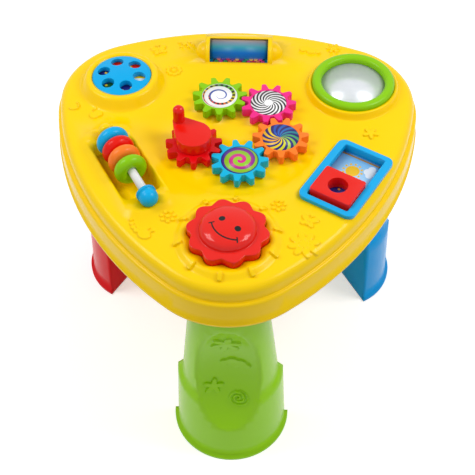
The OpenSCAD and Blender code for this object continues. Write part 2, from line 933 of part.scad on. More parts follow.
function tooth(a) = let (
        flank_x = sqrt(root_r * root_r - tooth_root_w * tooth_root_w / 4),
        round_c = [tip_r - tooth_round, tooth_tip_w / 2 - tooth_round],
        half = concat(
            [[flank_x, tooth_root_w / 2]],
            arc(round_c, tooth_round, 80, 0, 3)
        ),
        whole = concat([for (p = half) [p[0], -p[1]]], reversed(half))
    )
    [for (p = whole) [p[0] * cos(a) - p[1] * sin(a), p[0] * sin(a) + p[1] * cos(a)]];

module toy_gear(i) {
    difference() {
        translate([0, 0, gear_base_z])
            linear_extrude(gear_h)
                polygon([
                    for (k = [0:teeth - 1])
                        let (a = gear_phase(i) + tooth_step * k)
                        each concat(tooth(a), [root_r * [cos(a + tooth_step / 2), sin(a + tooth_step / 2)]])
                ]);
        disc(post_r + run_gap, gear_base_z - eps, gear_h);
        disc(washer_r + 2 * seat_gap, gear_base_z + gear_web, gear_h);
        // Hollow underside
        difference() {
            disc(root_r - 2.4, gear_base_z - eps, gear_h - 3 - label_t + eps);
            disc(washer_r + 2.2, gear_base_z - 2 * eps, gear_h);
        }
        children();
    }
}

module label_recess() {
    disc(label_r + seat_gap, gear_top_z - label_t - 0.1, 1);
}

module label_disc(i) {
    at_gear(i) disc(label_r, gear_top_z - label_t - 0.1, label_t);
}

module crank_gear() {
    color("crimson") centred() at_gear(0) toy_gear(0) at_handle_pins()
        disc(handle_pin_r + press_gap, gear_top_z - handle_pin_h - 0.2, gear_h);
}

module gear_blue() {
    color("deepskyblue") centred() at_gear(1) toy_gear(1) label_recess();
}

module gear_orange() {
    color("coral") centred() at_gear(2) toy_gear(2) label_recess();
}

module gear_pink() {
    color("hotpink") centred() at_gear(3) toy_gear(3) label_recess();
}

module gear_green() {
    color("yellowgreen") centred() at_gear(4) toy_gear(4) label_recess();
}

module label_blue() {
    color("blueviolet") centred() label_disc(1);
}

module label_orange() {
    color("navy") centred() label_disc(2);
}

module label_pink() {
    color("white") centred() label_disc(3);
}

module label_green() {
    color("whitesmoke") centred() label_disc(4);
}

module at_handle_pins() {
    for (k = [0:2]) rotate([0, 0, crank_turn + 60 + 120 * k])
        translate([handle_pin_ring_r, 0, 0]) children();
}

// The teardrop outline of the handle: two arcs and their common tangents
module teardrop() {
    tail_r = peg_r + 0.9;
    lean = acos((handle_r - tail_r) / crank_r);
    polygon(concat(
        arc([0, 0], handle_r, lean, 360 - lean, 30),
        arc([crank_r, 0], tail_r, -lean, lean, 14)
    ));
}

module crank_handle() {
    color("red") centred() at_gear(0) {
        difference() {
            union() {
                translate([0, 0, gear_top_z])
                    rotate([0, 0, crank_turn]) {
                        translate([0, 0, tail_gap]) linear_extrude(handle_h - tail_gap) teardrop();
                        translate([crank_r, 0, 0]) {
                            translate([0, 0, handle_h - eps])
                                cylinder(r = peg_r, h = peg_h - peg_r + eps);
                            translate([0, 0, handle_h + peg_h - peg_r]) sphere(r = peg_r);
                        }
                    }
                disc(handle_r - 1, gear_top_z, tail_gap + eps);
                at_handle_pins() disc(handle_pin_r, gear_top_z - handle_pin_h, handle_pin_h + eps);
            }
            // Hollow underside, over the washer and its screw
            disc(washer_r + 2 * seat_gap, gear_top_z - eps, handle_h - 3 + eps);
            rotate([0, 0, crank_turn]) translate([crank_r, 0, 0])
                disc(peg_r - 2.4, gear_top_z - eps, handle_h + peg_h - peg_r - 2);
        }
    }
}

module gear_washers() {
    color("silver") centred() for (i = [0:4]) at_gear(i) difference() {
        disc(washer_r, gear_base_z + gear_web + 0.1, washer_t);
        disc(screw_r + press_gap, gear_base_z + gear_web, 2 * washer_t);
    }
}

module gear_screws() {
    color("silver") centred() for (i = [0:4]) at_gear(i)
        translate([0, 0, gear_base_z + gear_web + 0.1 + washer_t]) screw(gear_screw_l - 0.5);
}

// ---- Sun button ----

// The scalloped outline: a round lobe on every step, a notch between two
module scallops(in) {
    step = 360 / sun_lobes;
    polygon([
        for (k = [0:sun_lobes * 10 - 1])
            let (
                a = k * step / 10,
                wave = (1 + cos(sun_lobes * a)) / 2,
                r = sun_root_r + (sun_r - sun_root_r) * pow(wave, 0.75) - in
            )
            r * [cos(a + sun_turn), sin(a + sun_turn)]
    ]);
}

sun_turn = 101.6;

module sun_button() {
    color("orangered") centred() at_corner(front_corner) difference() {
        union() {
            difference() {
                sun_body();
                sun_hollow();
            }
            disc(spring_cup_r + 1.8, sun_top_z - 4, sun_dome_h + 1.5);
            disc(stem_r, stem_z, sun_top_z + sun_dome_h - 1 - stem_z);
        }
        // Seat of the spring
        difference() {
            disc(spring_cup_r, sun_top_z - 4 - eps, spring_seat_z - sun_top_z + 4 + eps);
            disc(stem_r, sun_top_z - 5, sun_h);
        }
        // Groove of the clip
        difference() {
            disc(stem_r + eps, guide_z - 0.1 - clip_t, clip_t);
            disc(stem_r - clip_groove, guide_z - 2 * clip_t, 3 * clip_t);
        }
        disc(pad_stud_r + press_gap, stem_z - eps, pad_t + eps + 0.5);
    }
}

// Half the section of the domed middle: a round edge, then a low crown
function dome(r, h, edge) = let (xe = r - edge + edge * cos(70), ze = edge * sin(70)) concat(
    arc([r - edge, 0], edge, 0, 70, 5),
    [for (k = [5:-1:0]) let (x = xe * k / 6) [x, h - (h - ze) * x * x / (xe * xe)]]
);

module sun_dome(in, foot) {
    translate([0, 0, sun_top_z])
        rotate_extrude($fn = 120)
            polygon(concat(
                [[0, -foot], [sun_dome_r - in, -foot]],
                dome(sun_dome_r - in, sun_dome_h - in, dome_edge_r - in)
            ));
}

module sun_body() {
    translate([0, 0, sun_base_z]) linear_extrude(sun_h) scallops(0);
    sun_dome(0, eps);
}

module sun_hollow() {
    translate([0, 0, sun_base_z - eps]) linear_extrude(sun_h - sun_wall + eps) scallops(sun_wall);
    sun_dome(sun_wall, 2 * sun_wall);
}

module sun_spring() {
    coil_h = spring_seat_z - surface_z - 2 * spring_wire_r;
    color("silver") centred() at_corner(front_corner)
        translate([0, 0, surface_z + spring_wire_r + 0.02])
            tube(helix(spring_r, spring_r, coil_h - 0.04, spring_turns, 16), spring_wire_r, 6);
}

module sun_contact_pad() {
    color("dimgray") centred() at_corner(front_corner) {
        disc(pad_r, stem_z - pad_t, pad_t);
        disc(pad_stud_r, stem_z - eps, pad_t + eps);
    }
}

module sun_clip() {
    color("silver") centred() at_corner(front_corner) difference() {
        disc(clip_r, guide_z - 0.1 - clip_t, clip_t);
        disc(stem_r - clip_groove, guide_z - 1 - clip_t, 3);
        translate([0, 0, guide_z - 1 - clip_t])
            linear_extrude(3)
                translate([0, -stem_r + 2]) square([clip_r + 1, 2 * stem_r - 4]);
    }
}

// ---- Dial ----

module at_finger_holes() {
    for (k = [0:finger_holes - 1]) rotate([0, 0, finger_turn + 360 / finger_holes * k])
        translate([finger_ring_r, 0, 0]) children();
}

// The dial's top is a low dome
function crown_z(r) = dial_top_z - dial_crown * r * r / (dial_r * dial_r);

function crown(r, drop) = [for (k = [5:-1:0]) let (x = r * k / 5) [x, crown_z(x) - drop]];

module dial_disc() {
    edge_x = dial_r - dial_edge;
    color("deepskyblue") centred() at_corner(left_corner) difference() {
        union() {
            difference() {
                rotate_extrude()
                    polygon(concat(
                        [[0, dial_base_z], [dial_r, dial_base_z]],
                        arc([edge_x, crown_z(edge_x) - dial_edge], dial_edge, 0, 72, 4),
                        crown(edge_x, 0)
                    ));
                dial_hollow();
            }
            disc(dial_axle_r, dial_axle_z, dial_top_z - dial_web / 2 - dial_axle_z);
        }
        at_finger_holes() disc(finger_r, dial_base_z - eps, dial_h + 2 * eps);
        disc(pilot_r, dial_axle_z - eps, 10);
    }
}

module dial_hollow() {
    difference() {
        rotate_extrude()
            polygon(concat(
                [[0, dial_base_z - eps], [dial_r - dial_web, dial_base_z - eps]],
                crown(dial_r - dial_web, dial_web)
            ));
        at_finger_holes() disc(finger_r + 1.8, dial_base_z - 2 * eps, dial_h);
        disc(dial_axle_r + 2, dial_base_z - 2 * eps, dial_h);
    }
}

module dial_picture() {
    color("navy") centred() at_corner(left_corner) difference() {
        disc(dial_r - 0.5, dial_floor_z, picture_t);
        disc(dial_axle_r + seat_gap, dial_floor_z - eps, 2);
    }
}

module dial_washer() {
    color("silver") centred() at_corner(left_corner) difference() {
        disc(2 * dial_axle_r, dial_axle_z - 1.2, 1.2);
        disc(screw_r + press_gap, dial_axle_z - 2, 3);
    }
}

module dial_screw() {
    color("silver") centred() at_corner(left_corner) translate([0, 0, dial_axle_z - 1.2]) screw_up(9);
}

// ---- Mirror ----

module mirror_ring() {
    top = mirror_floor_z + mirror_ring_h;
    soft = 4;
    color("yellowgreen") centred() difference() {
        at_corner(right_corner) difference() {
            rotate_extrude()
                polygon(concat(
                    [[mirror_view_r, mirror_floor_z], [mirror_ring_r, mirror_floor_z]],
                    arc([mirror_ring_r - soft, top - soft], soft, 0, 90, 5),
                    arc([mirror_view_r + soft, top - soft], soft, 90, 180, 5)
                ));
            disc(mirror_rebate_r, mirror_floor_z - eps, mirror_t + eps);
        }
        at_mirror_screws() disc(pilot_r, mirror_floor_z - eps, 5);
    }
}

module mirror_disc() {
    color("aliceblue") centred() at_corner(right_corner)
        disc(mirror_rebate_r - 0.2, mirror_floor_z, mirror_t);
}

// ---- Roller ----

// Children placed on the roller's axis, which runs along X
module on_roller() {
    translate([0, roller_y, roller_z]) rotate([0, 90, 0]) children();
}

module roller_tube() {
    color("lightskyblue") centred() on_roller() difference() {
        cylinder(r = drum_r, h = 2 * tube_half, center = true);
        cylinder(r = drum_r - drum_wall, h = 3 * tube_half, center = true);
    }
}

module roller_cap(sx) {
    on_roller() mirror([0, 0, sx > 0 ? 0 : 1]) {
        disc(drum_r, tube_half, cap_t);
        disc(drum_r - drum_wall - press_gap, tube_half - cap_lip, cap_lip + eps);
        disc(axle_r, tube_half, bearing_x + bearing_t - 0.1 - tube_half);
    }
}

module roller_cap_left() {
    color("royalblue") centred() roller_cap(-1);
}

module roller_cap_right() {
    color("royalblue") centred() roller_cap(1);
}

// Beads lie in rows along the bottom of the drum
module roller_beads() {
    bead_ring_r = drum_r - drum_wall - bead_r - 0.1;
    bead_room = 2 * (tube_half - cap_lip - bead_r - 0.4);
    row_step = 2 * asin((bead_r + 0.1) / bead_ring_r);
    in_row = floor(bead_room / (2 * bead_r + 0.5));
    gap = bead_room / in_row;
    color("tomato") centred() translate([0, roller_y, roller_z])
        for (row = [-2:1]) for (k = [0:in_row - (row == 0 ? 0 : 1)])
            if (row > -2 || k % 3 != 1)
                let (
                    a = 270 + (row + 0.3) * row_step,
                    x = (k + (row % 2 == 0 ? 0 : 0.5)) * gap - bead_room / 2
                )
                if (abs(x) <= bead_room / 2 + 0.01)
                    translate([x, bead_ring_r * cos(a), bead_ring_r * sin(a)])
                        sphere(r = bead_r, $fn = 20);
}

module roller_bearings() {
    color("ivory") centred() difference() {
        for (sx = [-1, 1]) translate([sx > 0 ? bearing_x : -bearing_x - bearing_t, roller_y, 0]) {
            translate([0, -bearing_w / 2, bearing_flange_z])
                cube([bearing_t, bearing_w, roller_z + bearing_up - bearing_flange_z]);
            translate([sx > 0 ? 0 : bearing_t - flange_l, -flange_w / 2, bearing_flange_z])
                cube([flange_l, flange_w, flange_t]);
        }
        on_roller() cylinder(r = axle_r + run_gap, h = 3 * housing_l, center = true);
        at_bearing_screws() disc(pass_r, bearing_flange_z - eps, 2 * flange_t);
    }
}

// ---- Picture slider ----

module slider_frame() {
    ridge_w = slider_skirt_w + 2 * seat_gap + 2 * ridge_out;
    color("deepskyblue") centred() on_right_side() difference() {
        union() {
            translate([0, 0, surface_z])
                linear_extrude(bezel_up)
                    polygon(round_rect(bezel_l, bezel_w, bezel_round));
            translate([0, 0, slider_plate_z])
                linear_extrude(skirt_drop + eps)
                    square([slider_skirt_l, slider_skirt_w], center = true);
            // Ridges that snap under the shell
            for (sx = [-1, 1])
                translate([sx * slot_l / 4, 0, plate_z - seat_drop - 0.1 - ridge_h / 2])
                    cube([ridge_l, ridge_w, ridge_h], center = true);
        }
        translate([0, 0, slider_plate_z - eps])
            linear_extrude(far)
                polygon(round_rect(slot_l, slot_w, slot_round));
        translate([0, 0, slider_plate_z - eps])
            linear_extrude(skirt_drop - channel_drop + eps)
                square([slot_l, channel_w], center = true);
    }
}

module slider_block() {
    rest_x = slot_l / 2 - block_gap - block_l / 2;
    color("red") centred() on_right_side() translate([rest_x, 0, 0]) difference() {
        union() {
            translate([0, 0, block_z])
                linear_extrude(surface_z + block_up - block_z)
                    polygon(round_rect(block_l, block_w, 2));
            translate([-block_l / 2, -block_flange_w / 2, block_z])
                cube([block_l, block_flange_w, skirt_drop - channel_drop - slider_plate_t - 0.6]);
        }
        difference() {
            translate([0, 0, block_z - eps])
                linear_extrude(surface_z + block_up - block_wall - block_z + eps)
                    square([block_l - 2 * block_wall, block_w - 2 * block_wall], center = true);
            disc(block_hole_r + block_wall, block_z - 2 * eps, far);
        }
        disc(block_hole_r, block_z - eps, far);
    }
}

module slider_picture() {
    color("skyblue") centred() on_right_side()
        translate([0, 0, slider_plate_z])
            linear_extrude(slider_plate_t)
                square([slot_l - 2 * press_gap, channel_w - 2 * press_gap], center = true);
}

// ---- Rod with rings ----

// Children placed on the rod's axis, which runs along the left side to the back
module on_rod() {
    on_left_side() translate([0, 0, rod_z]) rotate([0, 90, 0]) children();
}

module abacus_rod() {
    front_x = -collar_x - rod_sink;
    color("white") centred() on_rod() disc(rod_r, front_x, rest_x0 + rod_sink - front_x);
}

// A rounded holder of one end of the rod, from x0 to the middle x1 of its ball-shaped end
module rod_mount(sx, r, x0, x1, collar) {
    peg_x = mount_peg_x[(1 + sx) / 2];
    on_left_side() difference() {
        union() {
            intersection() {
                translate([0, 0, rod_z]) rotate([0, 90 * sx, 0]) {
                    if (collar > 0) disc(r + 0.6, x0, collar);
                    disc(r, x0, x1 - x0);
                    intersection() {
                        translate([0, 0, x1]) sphere(r = r);
                        disc(2 * r, x0 + collar, 2 * r);
                    }
                }
                disc(far / 2, frame_z, far);
            }
            translate([peg_x, 0, 0]) disc(mount_peg_r, plate_z + 0.1, frame_z - plate_z + 1.9);
        }
        translate([0, 0, rod_z]) rotate([0, 90 * sx, 0])
            disc(rod_r + press_gap, x0 - eps, rod_sink + eps + 0.1);
        translate([peg_x, 0, 0]) disc(pilot_r, plate_z - eps, 8);
    }
}

module rod_mount_front() {
    color("deepskyblue") centred() rod_mount(-1, knob_r, collar_x, knob_x, collar_t);
}

// The back end of the rod rests in a low yellow boss
module rod_mount_back() {
    color("gold") centred() rod_mount(1, rest_r, rest_x0, rest_x1, 0);
}

module ring(i) {
    round_r = ring_t / 2;
    on_left_side() translate([ring_spacing[i] - well_shift, 0, rod_z]) rotate([0, 90, 0]) difference() {
        rotate_extrude() translate([ring_r - round_r, 0]) circle(r = round_r, $fn = 48);
        cylinder(r = ring_bore_r, h = 2 * ring_t, center = true);
    }
}

module ring_blue() {
    color("dodgerblue") centred() ring(0);
}

module ring_red() {
    color("red") centred() ring(1);
}

module ring_orange() {
    color("orange") centred() ring(2);
}

module ring_green() {
    color("limegreen") centred() ring(3);
}

// ---- Legs ----

function leg_r(z) = leg_foot_r + (leg_top_r - leg_foot_r) * z / leg_top_z;

// The leaning cone of a leg, thinner by in
module leg_cone(in) {
    over = 6;
    rotate([0, leg_tilt, 0])
        translate([0, 0, -over])
            cylinder(r1 = leg_r(-over) - in, r2 = leg_r(leg_top_z + over) - in,
                h = leg_top_z + 2 * over, $fn = 120);
}

// The egg-shaped dish that is scooped out of the front of a leg, larger by out
module dish(out) {
    front_x = leg_lean * dish_z / leg_top_z + leg_r(dish_z);
    front_tilt = atan((leg_r(0) - leg_r(leg_top_z) - leg_lean) / leg_top_z);
    span = asin(dish_half_h / dish_arc_r);
    translate([front_x - dish_d + dish_r, 0, dish_z])
        rotate([0, -front_tilt, 0])
            rotate_extrude($fn = 120)
                polygon(concat(
                    [[0, -dish_half_h]],
                    arc([dish_r - dish_arc_r, 0], dish_arc_r + out, -span, span, dish_steps),
                    [[0, dish_half_h]]
                ));
}

module leg_tenon(in) {
    intersection() {
        translate([tenon_c, 0, 0]) circle(r = tenon_r - in);
        translate([tenon_in + in, -far / 2]) square([far, far]);
    }
}

module leg_outside() {
    difference() {
        intersection() {
            union() {
                leg_cone(0);
                cylinder(r1 = leg_foot_r, r2 = tier_r, h = tier_h, $fn = 120);
                translate([0, 0, tier_h])
                    cylinder(r1 = tier_r, r2 = tier_r - tier_slope, h = tier_slope, $fn = 120);
                cylinder(r = leg_foot_r + foot_lip, h = foot_lip_h, $fn = 120);
            }
            translate([0, -far / 2, 0]) cube([far, far, leg_top_z]);
        }
        dish(0);
    }
    translate([0, 0, leg_top_z - eps]) linear_extrude(tenon_h + eps) leg_tenon(0);
}

module leg_inside() {
    difference() {
        intersection() {
            union() {
                leg_cone(leg_wall);
                translate([0, 0, -eps])
                    cylinder(r1 = leg_foot_r - leg_wall, r2 = tier_r - leg_wall, h = tier_h, $fn = 120);
            }
            translate([leg_wall, -far / 2, -1]) cube([far, far, leg_top_z - leg_wall + 1]);
        }
        dish(leg_wall);
    }
    translate([0, 0, leg_top_z - leg_wall - eps])
        linear_extrude(tenon_h + eps)
            leg_tenon(leg_wall);
}

module leg(a) {
    at_leg(a) difference() {
        leg_outside();
        leg_inside();
        translate([leg_screw_x, 0, 0]) disc(pass_r + 0.5, leg_top_z, 2 * tenon_h);
    }
}

module leg_front() {
    color("limegreen") centred() leg(front_corner);
}

module leg_back_left() {
    color("red") centred() leg(left_corner);
}

module leg_back_right() {
    color("dodgerblue") centred() leg(right_corner);
}

// ---- Bottom cover ----

socket_top_z = leg_top_z + tenon_h + seat_gap;

module bottom_cover() {
    color("gold") centred() difference() {
        union() {
            outline_plate(cover_off, cover_z, cover_t);
            for (a = [front_corner, left_corner, right_corner]) at_leg(a) {
                translate([0, 0, cover_z])
                    linear_extrude(socket_top_z + cover_wall - cover_z)
                        leg_tenon(-cover_gap - cover_wall);
                translate([leg_screw_x, 0, 0]) disc(boss_r + 0.5, socket_top_z, cover_wall + 8);
            }
            translate([0, battery_y, (cover_z + bay_top_z + battery_wall) / 2])
                cube([bay_w + 2 * battery_wall, bay_l + 2 * battery_wall,
                    bay_top_z + battery_wall - cover_z], center = true);
            translate([0, battery_y - bay_l / 2 - door_ear + 3, 0])
                disc(boss_r, cover_z + door_t, 8);
            translate([0, speaker_y, 0]) disc(speaker_r + 2.4, cover_z, cover_t + speaker_seat_h);
            switch_seat();
        }
        for (a = [front_corner, left_corner, right_corner]) at_leg(a) {
            translate([0, 0, cover_z - eps])
                linear_extrude(socket_top_z - cover_z + eps)
                    leg_tenon(-cover_gap);
            translate([leg_screw_x, 0, 0]) disc(pilot_r + 0.5, socket_top_z - eps, 10);
        }
        battery_bay();
        translate([0, speaker_y, 0]) {
            disc(speaker_r + seat_gap, cover_top_z, 2 * speaker_seat_h);
            speaker_grille();
        }
        translate([switch_x, switch_y, cover_z])
            cube([knob_w + 1, switch_travel + knob_w + 3, 4 * cover_t], center = true);
        at_case_screws() disc(pass_r, cover_z - eps, 2 * cover_t);
    }
}

// Round holes in rings under the speaker
module speaker_grille() {
    for (ring = [1:2]) for (k = [0:6 * ring - 1])
        rotate([0, 0, 60 / ring * k]) translate([9 * ring, 0, 0]) disc(grille_r, cover_z - eps, 2 * cover_t);
    disc(grille_r, cover_z - eps, 2 * cover_t);
}

module battery_bay() {
    translate([0, battery_y, 0]) {
        translate([-bay_w / 2, -bay_l / 2, cover_z - eps]) cube([bay_w, bay_l, bay_top_z - cover_z + eps]);
        // Seat of the door and of its ear
        translate([-bay_w / 2 - door_ledge + battery_wall, -bay_l / 2 - door_ledge + battery_wall,
            cover_z - eps])
            cube([bay_w + 2 * door_ledge - 2 * battery_wall, bay_l + 2 * door_ledge - 2 * battery_wall,
                door_t + eps]);
    }
    translate([0, battery_y - bay_l / 2 - door_ear + 3, 0]) {
        disc(pilot_r, cover_z - eps, 8.5);
        disc(boss_r + 1, cover_z - eps, door_t + eps);
    }
}

module switch_seat() {
    translate([switch_x, switch_y, cover_top_z + 1.2]) difference() {
        cube([switch_w + 3, switch_l + 3, 3], center = true);
        cube([switch_w + 2 * press_gap, switch_l + 2 * press_gap, 4], center = true);
    }
}

module case_screws() {
    color("silver") centred() {
        at_case_screws() translate([0, 0, cover_z]) screw_up(case_screw_l);
        for (a = [front_corner, left_corner, right_corner]) at_leg(a)
            translate([leg_screw_x, 0, leg_top_z + tenon_h - leg_wall]) screw_up(leg_screw_l, screw_r + 0.5);
    }
}

// ---- Sound unit ----

module circuit_board() {
    color("darkgreen") centred() difference() {
        translate([-board_l / 2, board_y - board_w / 2, board_z]) cube([board_l, board_w, board_t]);
        at_board_screws() disc(pass_r, board_z - eps, 2 * board_t);
    }
}

module music_chip() {
    color("black") centred() translate([0, board_y + 10, board_top_z]) {
        intersection() {
            translate([0, 0, -9]) sphere(r = 12);
            disc(8, 0, 4);
        }
        for (k = [-1, 1]) translate([18 * k - 4, -3, 0]) cube([8, 6, 3]);
    }
}

module at_speaker() {
    translate([0, speaker_y, speaker_z]) children();
}

module speaker_frame() {
    color("dimgray") centred() at_speaker() difference() {
        union() {
            cylinder(r = speaker_r, h = 2.2);
            translate([0, 0, 1]) cylinder(r1 = speaker_r - 4, r2 = 14, h = 9);
        }
        translate([0, 0, -eps]) cylinder(r1 = speaker_r - 4, r2 = speaker_r - 5.4, h = 2);
        translate([0, 0, 1.4]) cylinder(r1 = speaker_r - 5.4, r2 = 12.6, h = 7.6);
        for (k = [0:3]) rotate([0, 0, 45 + 90 * k]) translate([speaker_r - 9, 0, 6])
            cube([14, 10, 5], center = true);
        disc(8, 5, 10);
    }
}

module speaker_cone() {
    color("black") centred() at_speaker() difference() {
        translate([0, 0, 0.6]) cylinder(r1 = speaker_r - 6, r2 = 9, h = 5.6);
        translate([0, 0, 0.3]) cylinder(r1 = speaker_r - 6.2, r2 = 8.4, h = 5.4);
    }
}

module speaker_magnet() {
    color("silver") centred() at_speaker() disc(12.5, 10, 7);
}

module at_cells() {
    translate([0, battery_y, cell_z]) for (k = [-1:1])
        translate([k * cell_pitch, 0, 0]) rotate([0, 0, k == 0 ? 180 : 0]) children();
}

// A cell lies along Y with its nub to the back
cell_start = -bay_l / 2 + contact_t + 6;

module batteries() {
    color("orange") centred() at_cells() rotate([-90, 0, 0]) {
        disc(cell_r, cell_start, cell_l);
        disc(nub_r, cell_start + cell_l - eps, nub_l + eps);
    }
}

module battery_contacts() {
    color("silver") centred() translate([0, battery_y, cell_z]) {
        for (sy = [-1, 1])
            translate([0, sy * (bay_l - contact_t) / 2, 0])
                cube([2 * cell_pitch + 10, contact_t, 9], center = true);
        for (k = [-1:1]) rotate([0, 0, k == 0 ? 180 : 0])
            translate([k * cell_pitch, cell_start + cell_l + nub_l + 0.9, 0])
                cube([8, 1.8, 6], center = true);
    }
}

module battery_springs() {
    color("silver") centred() at_cells() translate([0, -bay_l / 2 + contact_t, 0]) rotate([-90, 0, 0])
        translate([0, 0, 0.5]) tube(helix(5, 2.2, 5, 3, 10), 0.45, 5);
}

door_clear = door_ledge - battery_wall - door_gap;

module battery_door() {
    color("gold") centred() difference() {
        union() {
            translate([-bay_w / 2 - door_clear, battery_y - bay_l / 2 - door_clear, cover_z])
                cube([bay_w + 2 * door_clear, bay_l + 2 * door_clear, door_t - 0.1]);
            translate([0, battery_y - bay_l / 2 - door_ear + 3, 0])
                disc(boss_r + 1 - door_gap, cover_z, door_t - 0.1);
        }
        translate([0, battery_y - bay_l / 2 - door_ear + 3, 0]) disc(pass_r, cover_z - eps, 2 * door_t);
    }
}

module battery_door_screw() {
    color("silver") centred() translate([0, battery_y - bay_l / 2 - door_ear + 3, cover_z])
        screw_up(8);
}

module power_switch_body() {
    color("black") centred() translate([switch_x, switch_y, cover_top_z]) difference() {
        translate([-switch_w / 2, -switch_l / 2, 0]) cube([switch_w, switch_l, switch_h]);
        translate([0, 0, 1])
            cube([knob_w + 1, switch_travel + knob_w + 3, 2 * (switch_h - 3)], center = true);
    }
}

module power_switch_knob() {
    color("red") centred() translate([switch_x, switch_y - switch_travel / 2, 0])
        translate([-knob_w / 2, -knob_w / 2, cover_z + 0.2])
            cube([knob_w, knob_w, cover_t + 3]);
}

module trim_screws() {
    color("silver") centred() {
        at_mirror_screws() translate([0, 0, mirror_floor_z - wall]) screw_up(7);
        at_board_screws() translate([0, 0, board_z]) screw_up(9);
        at_bearing_screws() translate([0, 0, bearing_flange_z]) screw_up(flange_t + 5);
        on_left_side() for (x = mount_peg_x) translate([x, 0, plate_z]) screw_up(7);
    }
}

// ---- Wires ----

wire_r = 0.8;
wire_gap = 4;

module speaker_wires() {
    color("red") centred() for (k = [-1, 1])
        tube(smooth([
            [k * wire_gap / 2 - 12, speaker_y - 30, 270],
            [k * wire_gap / 2 - 16, 16, 274],
            [k * wire_gap / 2 - 18, 4, 281],
            [k * wire_gap / 2 - 18, -16, 283],
            [k * wire_gap / 2 - 18, -50, 283],
            [k * wire_gap / 2 - 16, -80, 281],
            [k * wire_gap / 2 - 14, board_y + board_w / 2 + 6, 278],
            [k * wire_gap / 2 - 13, board_y + board_w / 2 - 4, board_top_z + wire_r]
        ]), wire_r);
}

module battery_wires() {
    color("black") centred() for (k = [-1, 1])
        tube(smooth([
            [k * wire_gap / 2 + 16, -66.5, 269.5],
            [k * wire_gap / 2 + 17, -76, 271],
            [k * wire_gap / 2 + 16, -86, 275],
            [k * wire_gap / 2 + 14, board_y + board_w / 2 + 6, 278],
            [k * wire_gap / 2 + 13, board_y + board_w / 2 - 4, board_top_z + wire_r]
        ]), wire_r);
}

top_shell();
bottom_cover();
leg_front();
leg_back_left();
leg_back_right();
case_screws();
crank_gear();
crank_handle();
gear_blue();
gear_orange();
gear_pink();
gear_green();
label_blue();
label_orange();
label_pink();
label_green();
gear_washers();
gear_screws();
sun_button();
sun_spring();
sun_contact_pad();
sun_clip();
circuit_board();
music_chip();
speaker_frame();
speaker_cone();
speaker_magnet();
batteries();
battery_contacts();
battery_springs();
battery_door();
battery_door_screw();
power_switch_body();
power_switch_knob();
speaker_wires();
battery_wires();
mirror_ring();
mirror_disc();
dial_disc();
dial_picture();
dial_washer();
dial_screw();
roller_tube();
roller_cap_left();
roller_cap_right();
roller_beads();
roller_bearings();
slider_frame();
slider_block();
slider_picture();
abacus_rod();
rod_mount_front();
rod_mount_back();
ring_blue();
ring_red();
ring_orange();
ring_green();
trim_screws();
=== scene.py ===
"""Looks of the musical activity table: moulded plastic, printed discs, reliefs, light and camera.

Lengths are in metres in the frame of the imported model: +Z up, the floor at 0, the back at +Y.
Printed art and reliefs are drawn in millimetres and brought to metres by MM.
"""
import math

import bpy
from mathutils import Matrix, Vector
from mathutils.bvhtree import BVHTree


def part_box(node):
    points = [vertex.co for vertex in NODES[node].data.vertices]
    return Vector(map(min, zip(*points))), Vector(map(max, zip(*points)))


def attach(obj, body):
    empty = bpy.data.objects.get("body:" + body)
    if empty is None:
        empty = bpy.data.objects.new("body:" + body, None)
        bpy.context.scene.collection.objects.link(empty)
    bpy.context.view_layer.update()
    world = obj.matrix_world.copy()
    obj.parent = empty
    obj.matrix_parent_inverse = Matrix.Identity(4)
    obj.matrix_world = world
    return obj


MM = 0.001
TAU = 2 * math.pi

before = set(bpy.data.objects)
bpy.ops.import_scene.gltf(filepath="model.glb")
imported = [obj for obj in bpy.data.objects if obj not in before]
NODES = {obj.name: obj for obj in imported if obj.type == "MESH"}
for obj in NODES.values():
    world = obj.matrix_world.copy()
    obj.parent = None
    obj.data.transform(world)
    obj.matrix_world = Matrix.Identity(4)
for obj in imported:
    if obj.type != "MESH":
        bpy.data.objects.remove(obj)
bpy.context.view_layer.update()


# ---- Places taken from the frame ----

def centre_of(node):
    """Middle of a node's box."""
    low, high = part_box(node)
    return (low + high) / 2


SUN = centre_of("sun_contact_pad")
DIAL = centre_of("dial_picture")
MIRROR = centre_of("mirror_disc")
ROLLER = centre_of("roller_tube")
PICTURE = centre_of("slider_picture")
MIDDLE = Vector((0, (MIRROR.y + DIAL.y + SUN.y) / 3, 0))
FRAME_STANDS = 4.5 * MM  # height of the slider frame above the play surface
SURFACE_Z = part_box("slider_frame")[1].z - FRAME_STANDS


# ---- Colours ----

def srgb(r, g, b):
    """Linear colour of an 8-bit one."""
    def linear(c):
        c /= 255
        return c / 12.92 if c <= 0.04045 else ((c + 0.055) / 1.055) ** 2.4
    return (linear(r), linear(g), linear(b), 1.0)


YELLOW = srgb(255, 212, 0)
GREEN = srgb(138, 202, 14)
LEG_GREEN = srgb(152, 214, 8)
RED = srgb(232, 28, 16)
CRIMSON = srgb(222, 16, 22)
LEG_RED = srgb(232, 20, 26)
BLUE = srgb(14, 174, 232)
LIGHT_BLUE = srgb(0, 170, 232)
GEAR_BLUE = srgb(20, 180, 222)
LEG_BLUE = srgb(0, 158, 232)
ORANGE = srgb(255, 130, 48)
PINK = srgb(240, 52, 138)
WHITE = srgb(238, 238, 236)
NAVY = srgb(28, 34, 120)
BLACK = srgb(18, 16, 18)
PAPER = srgb(255, 255, 255)
STEEL = srgb(196, 198, 202)


# ---- Building blocks of materials ----

BEVEL_SAMPLES = 4


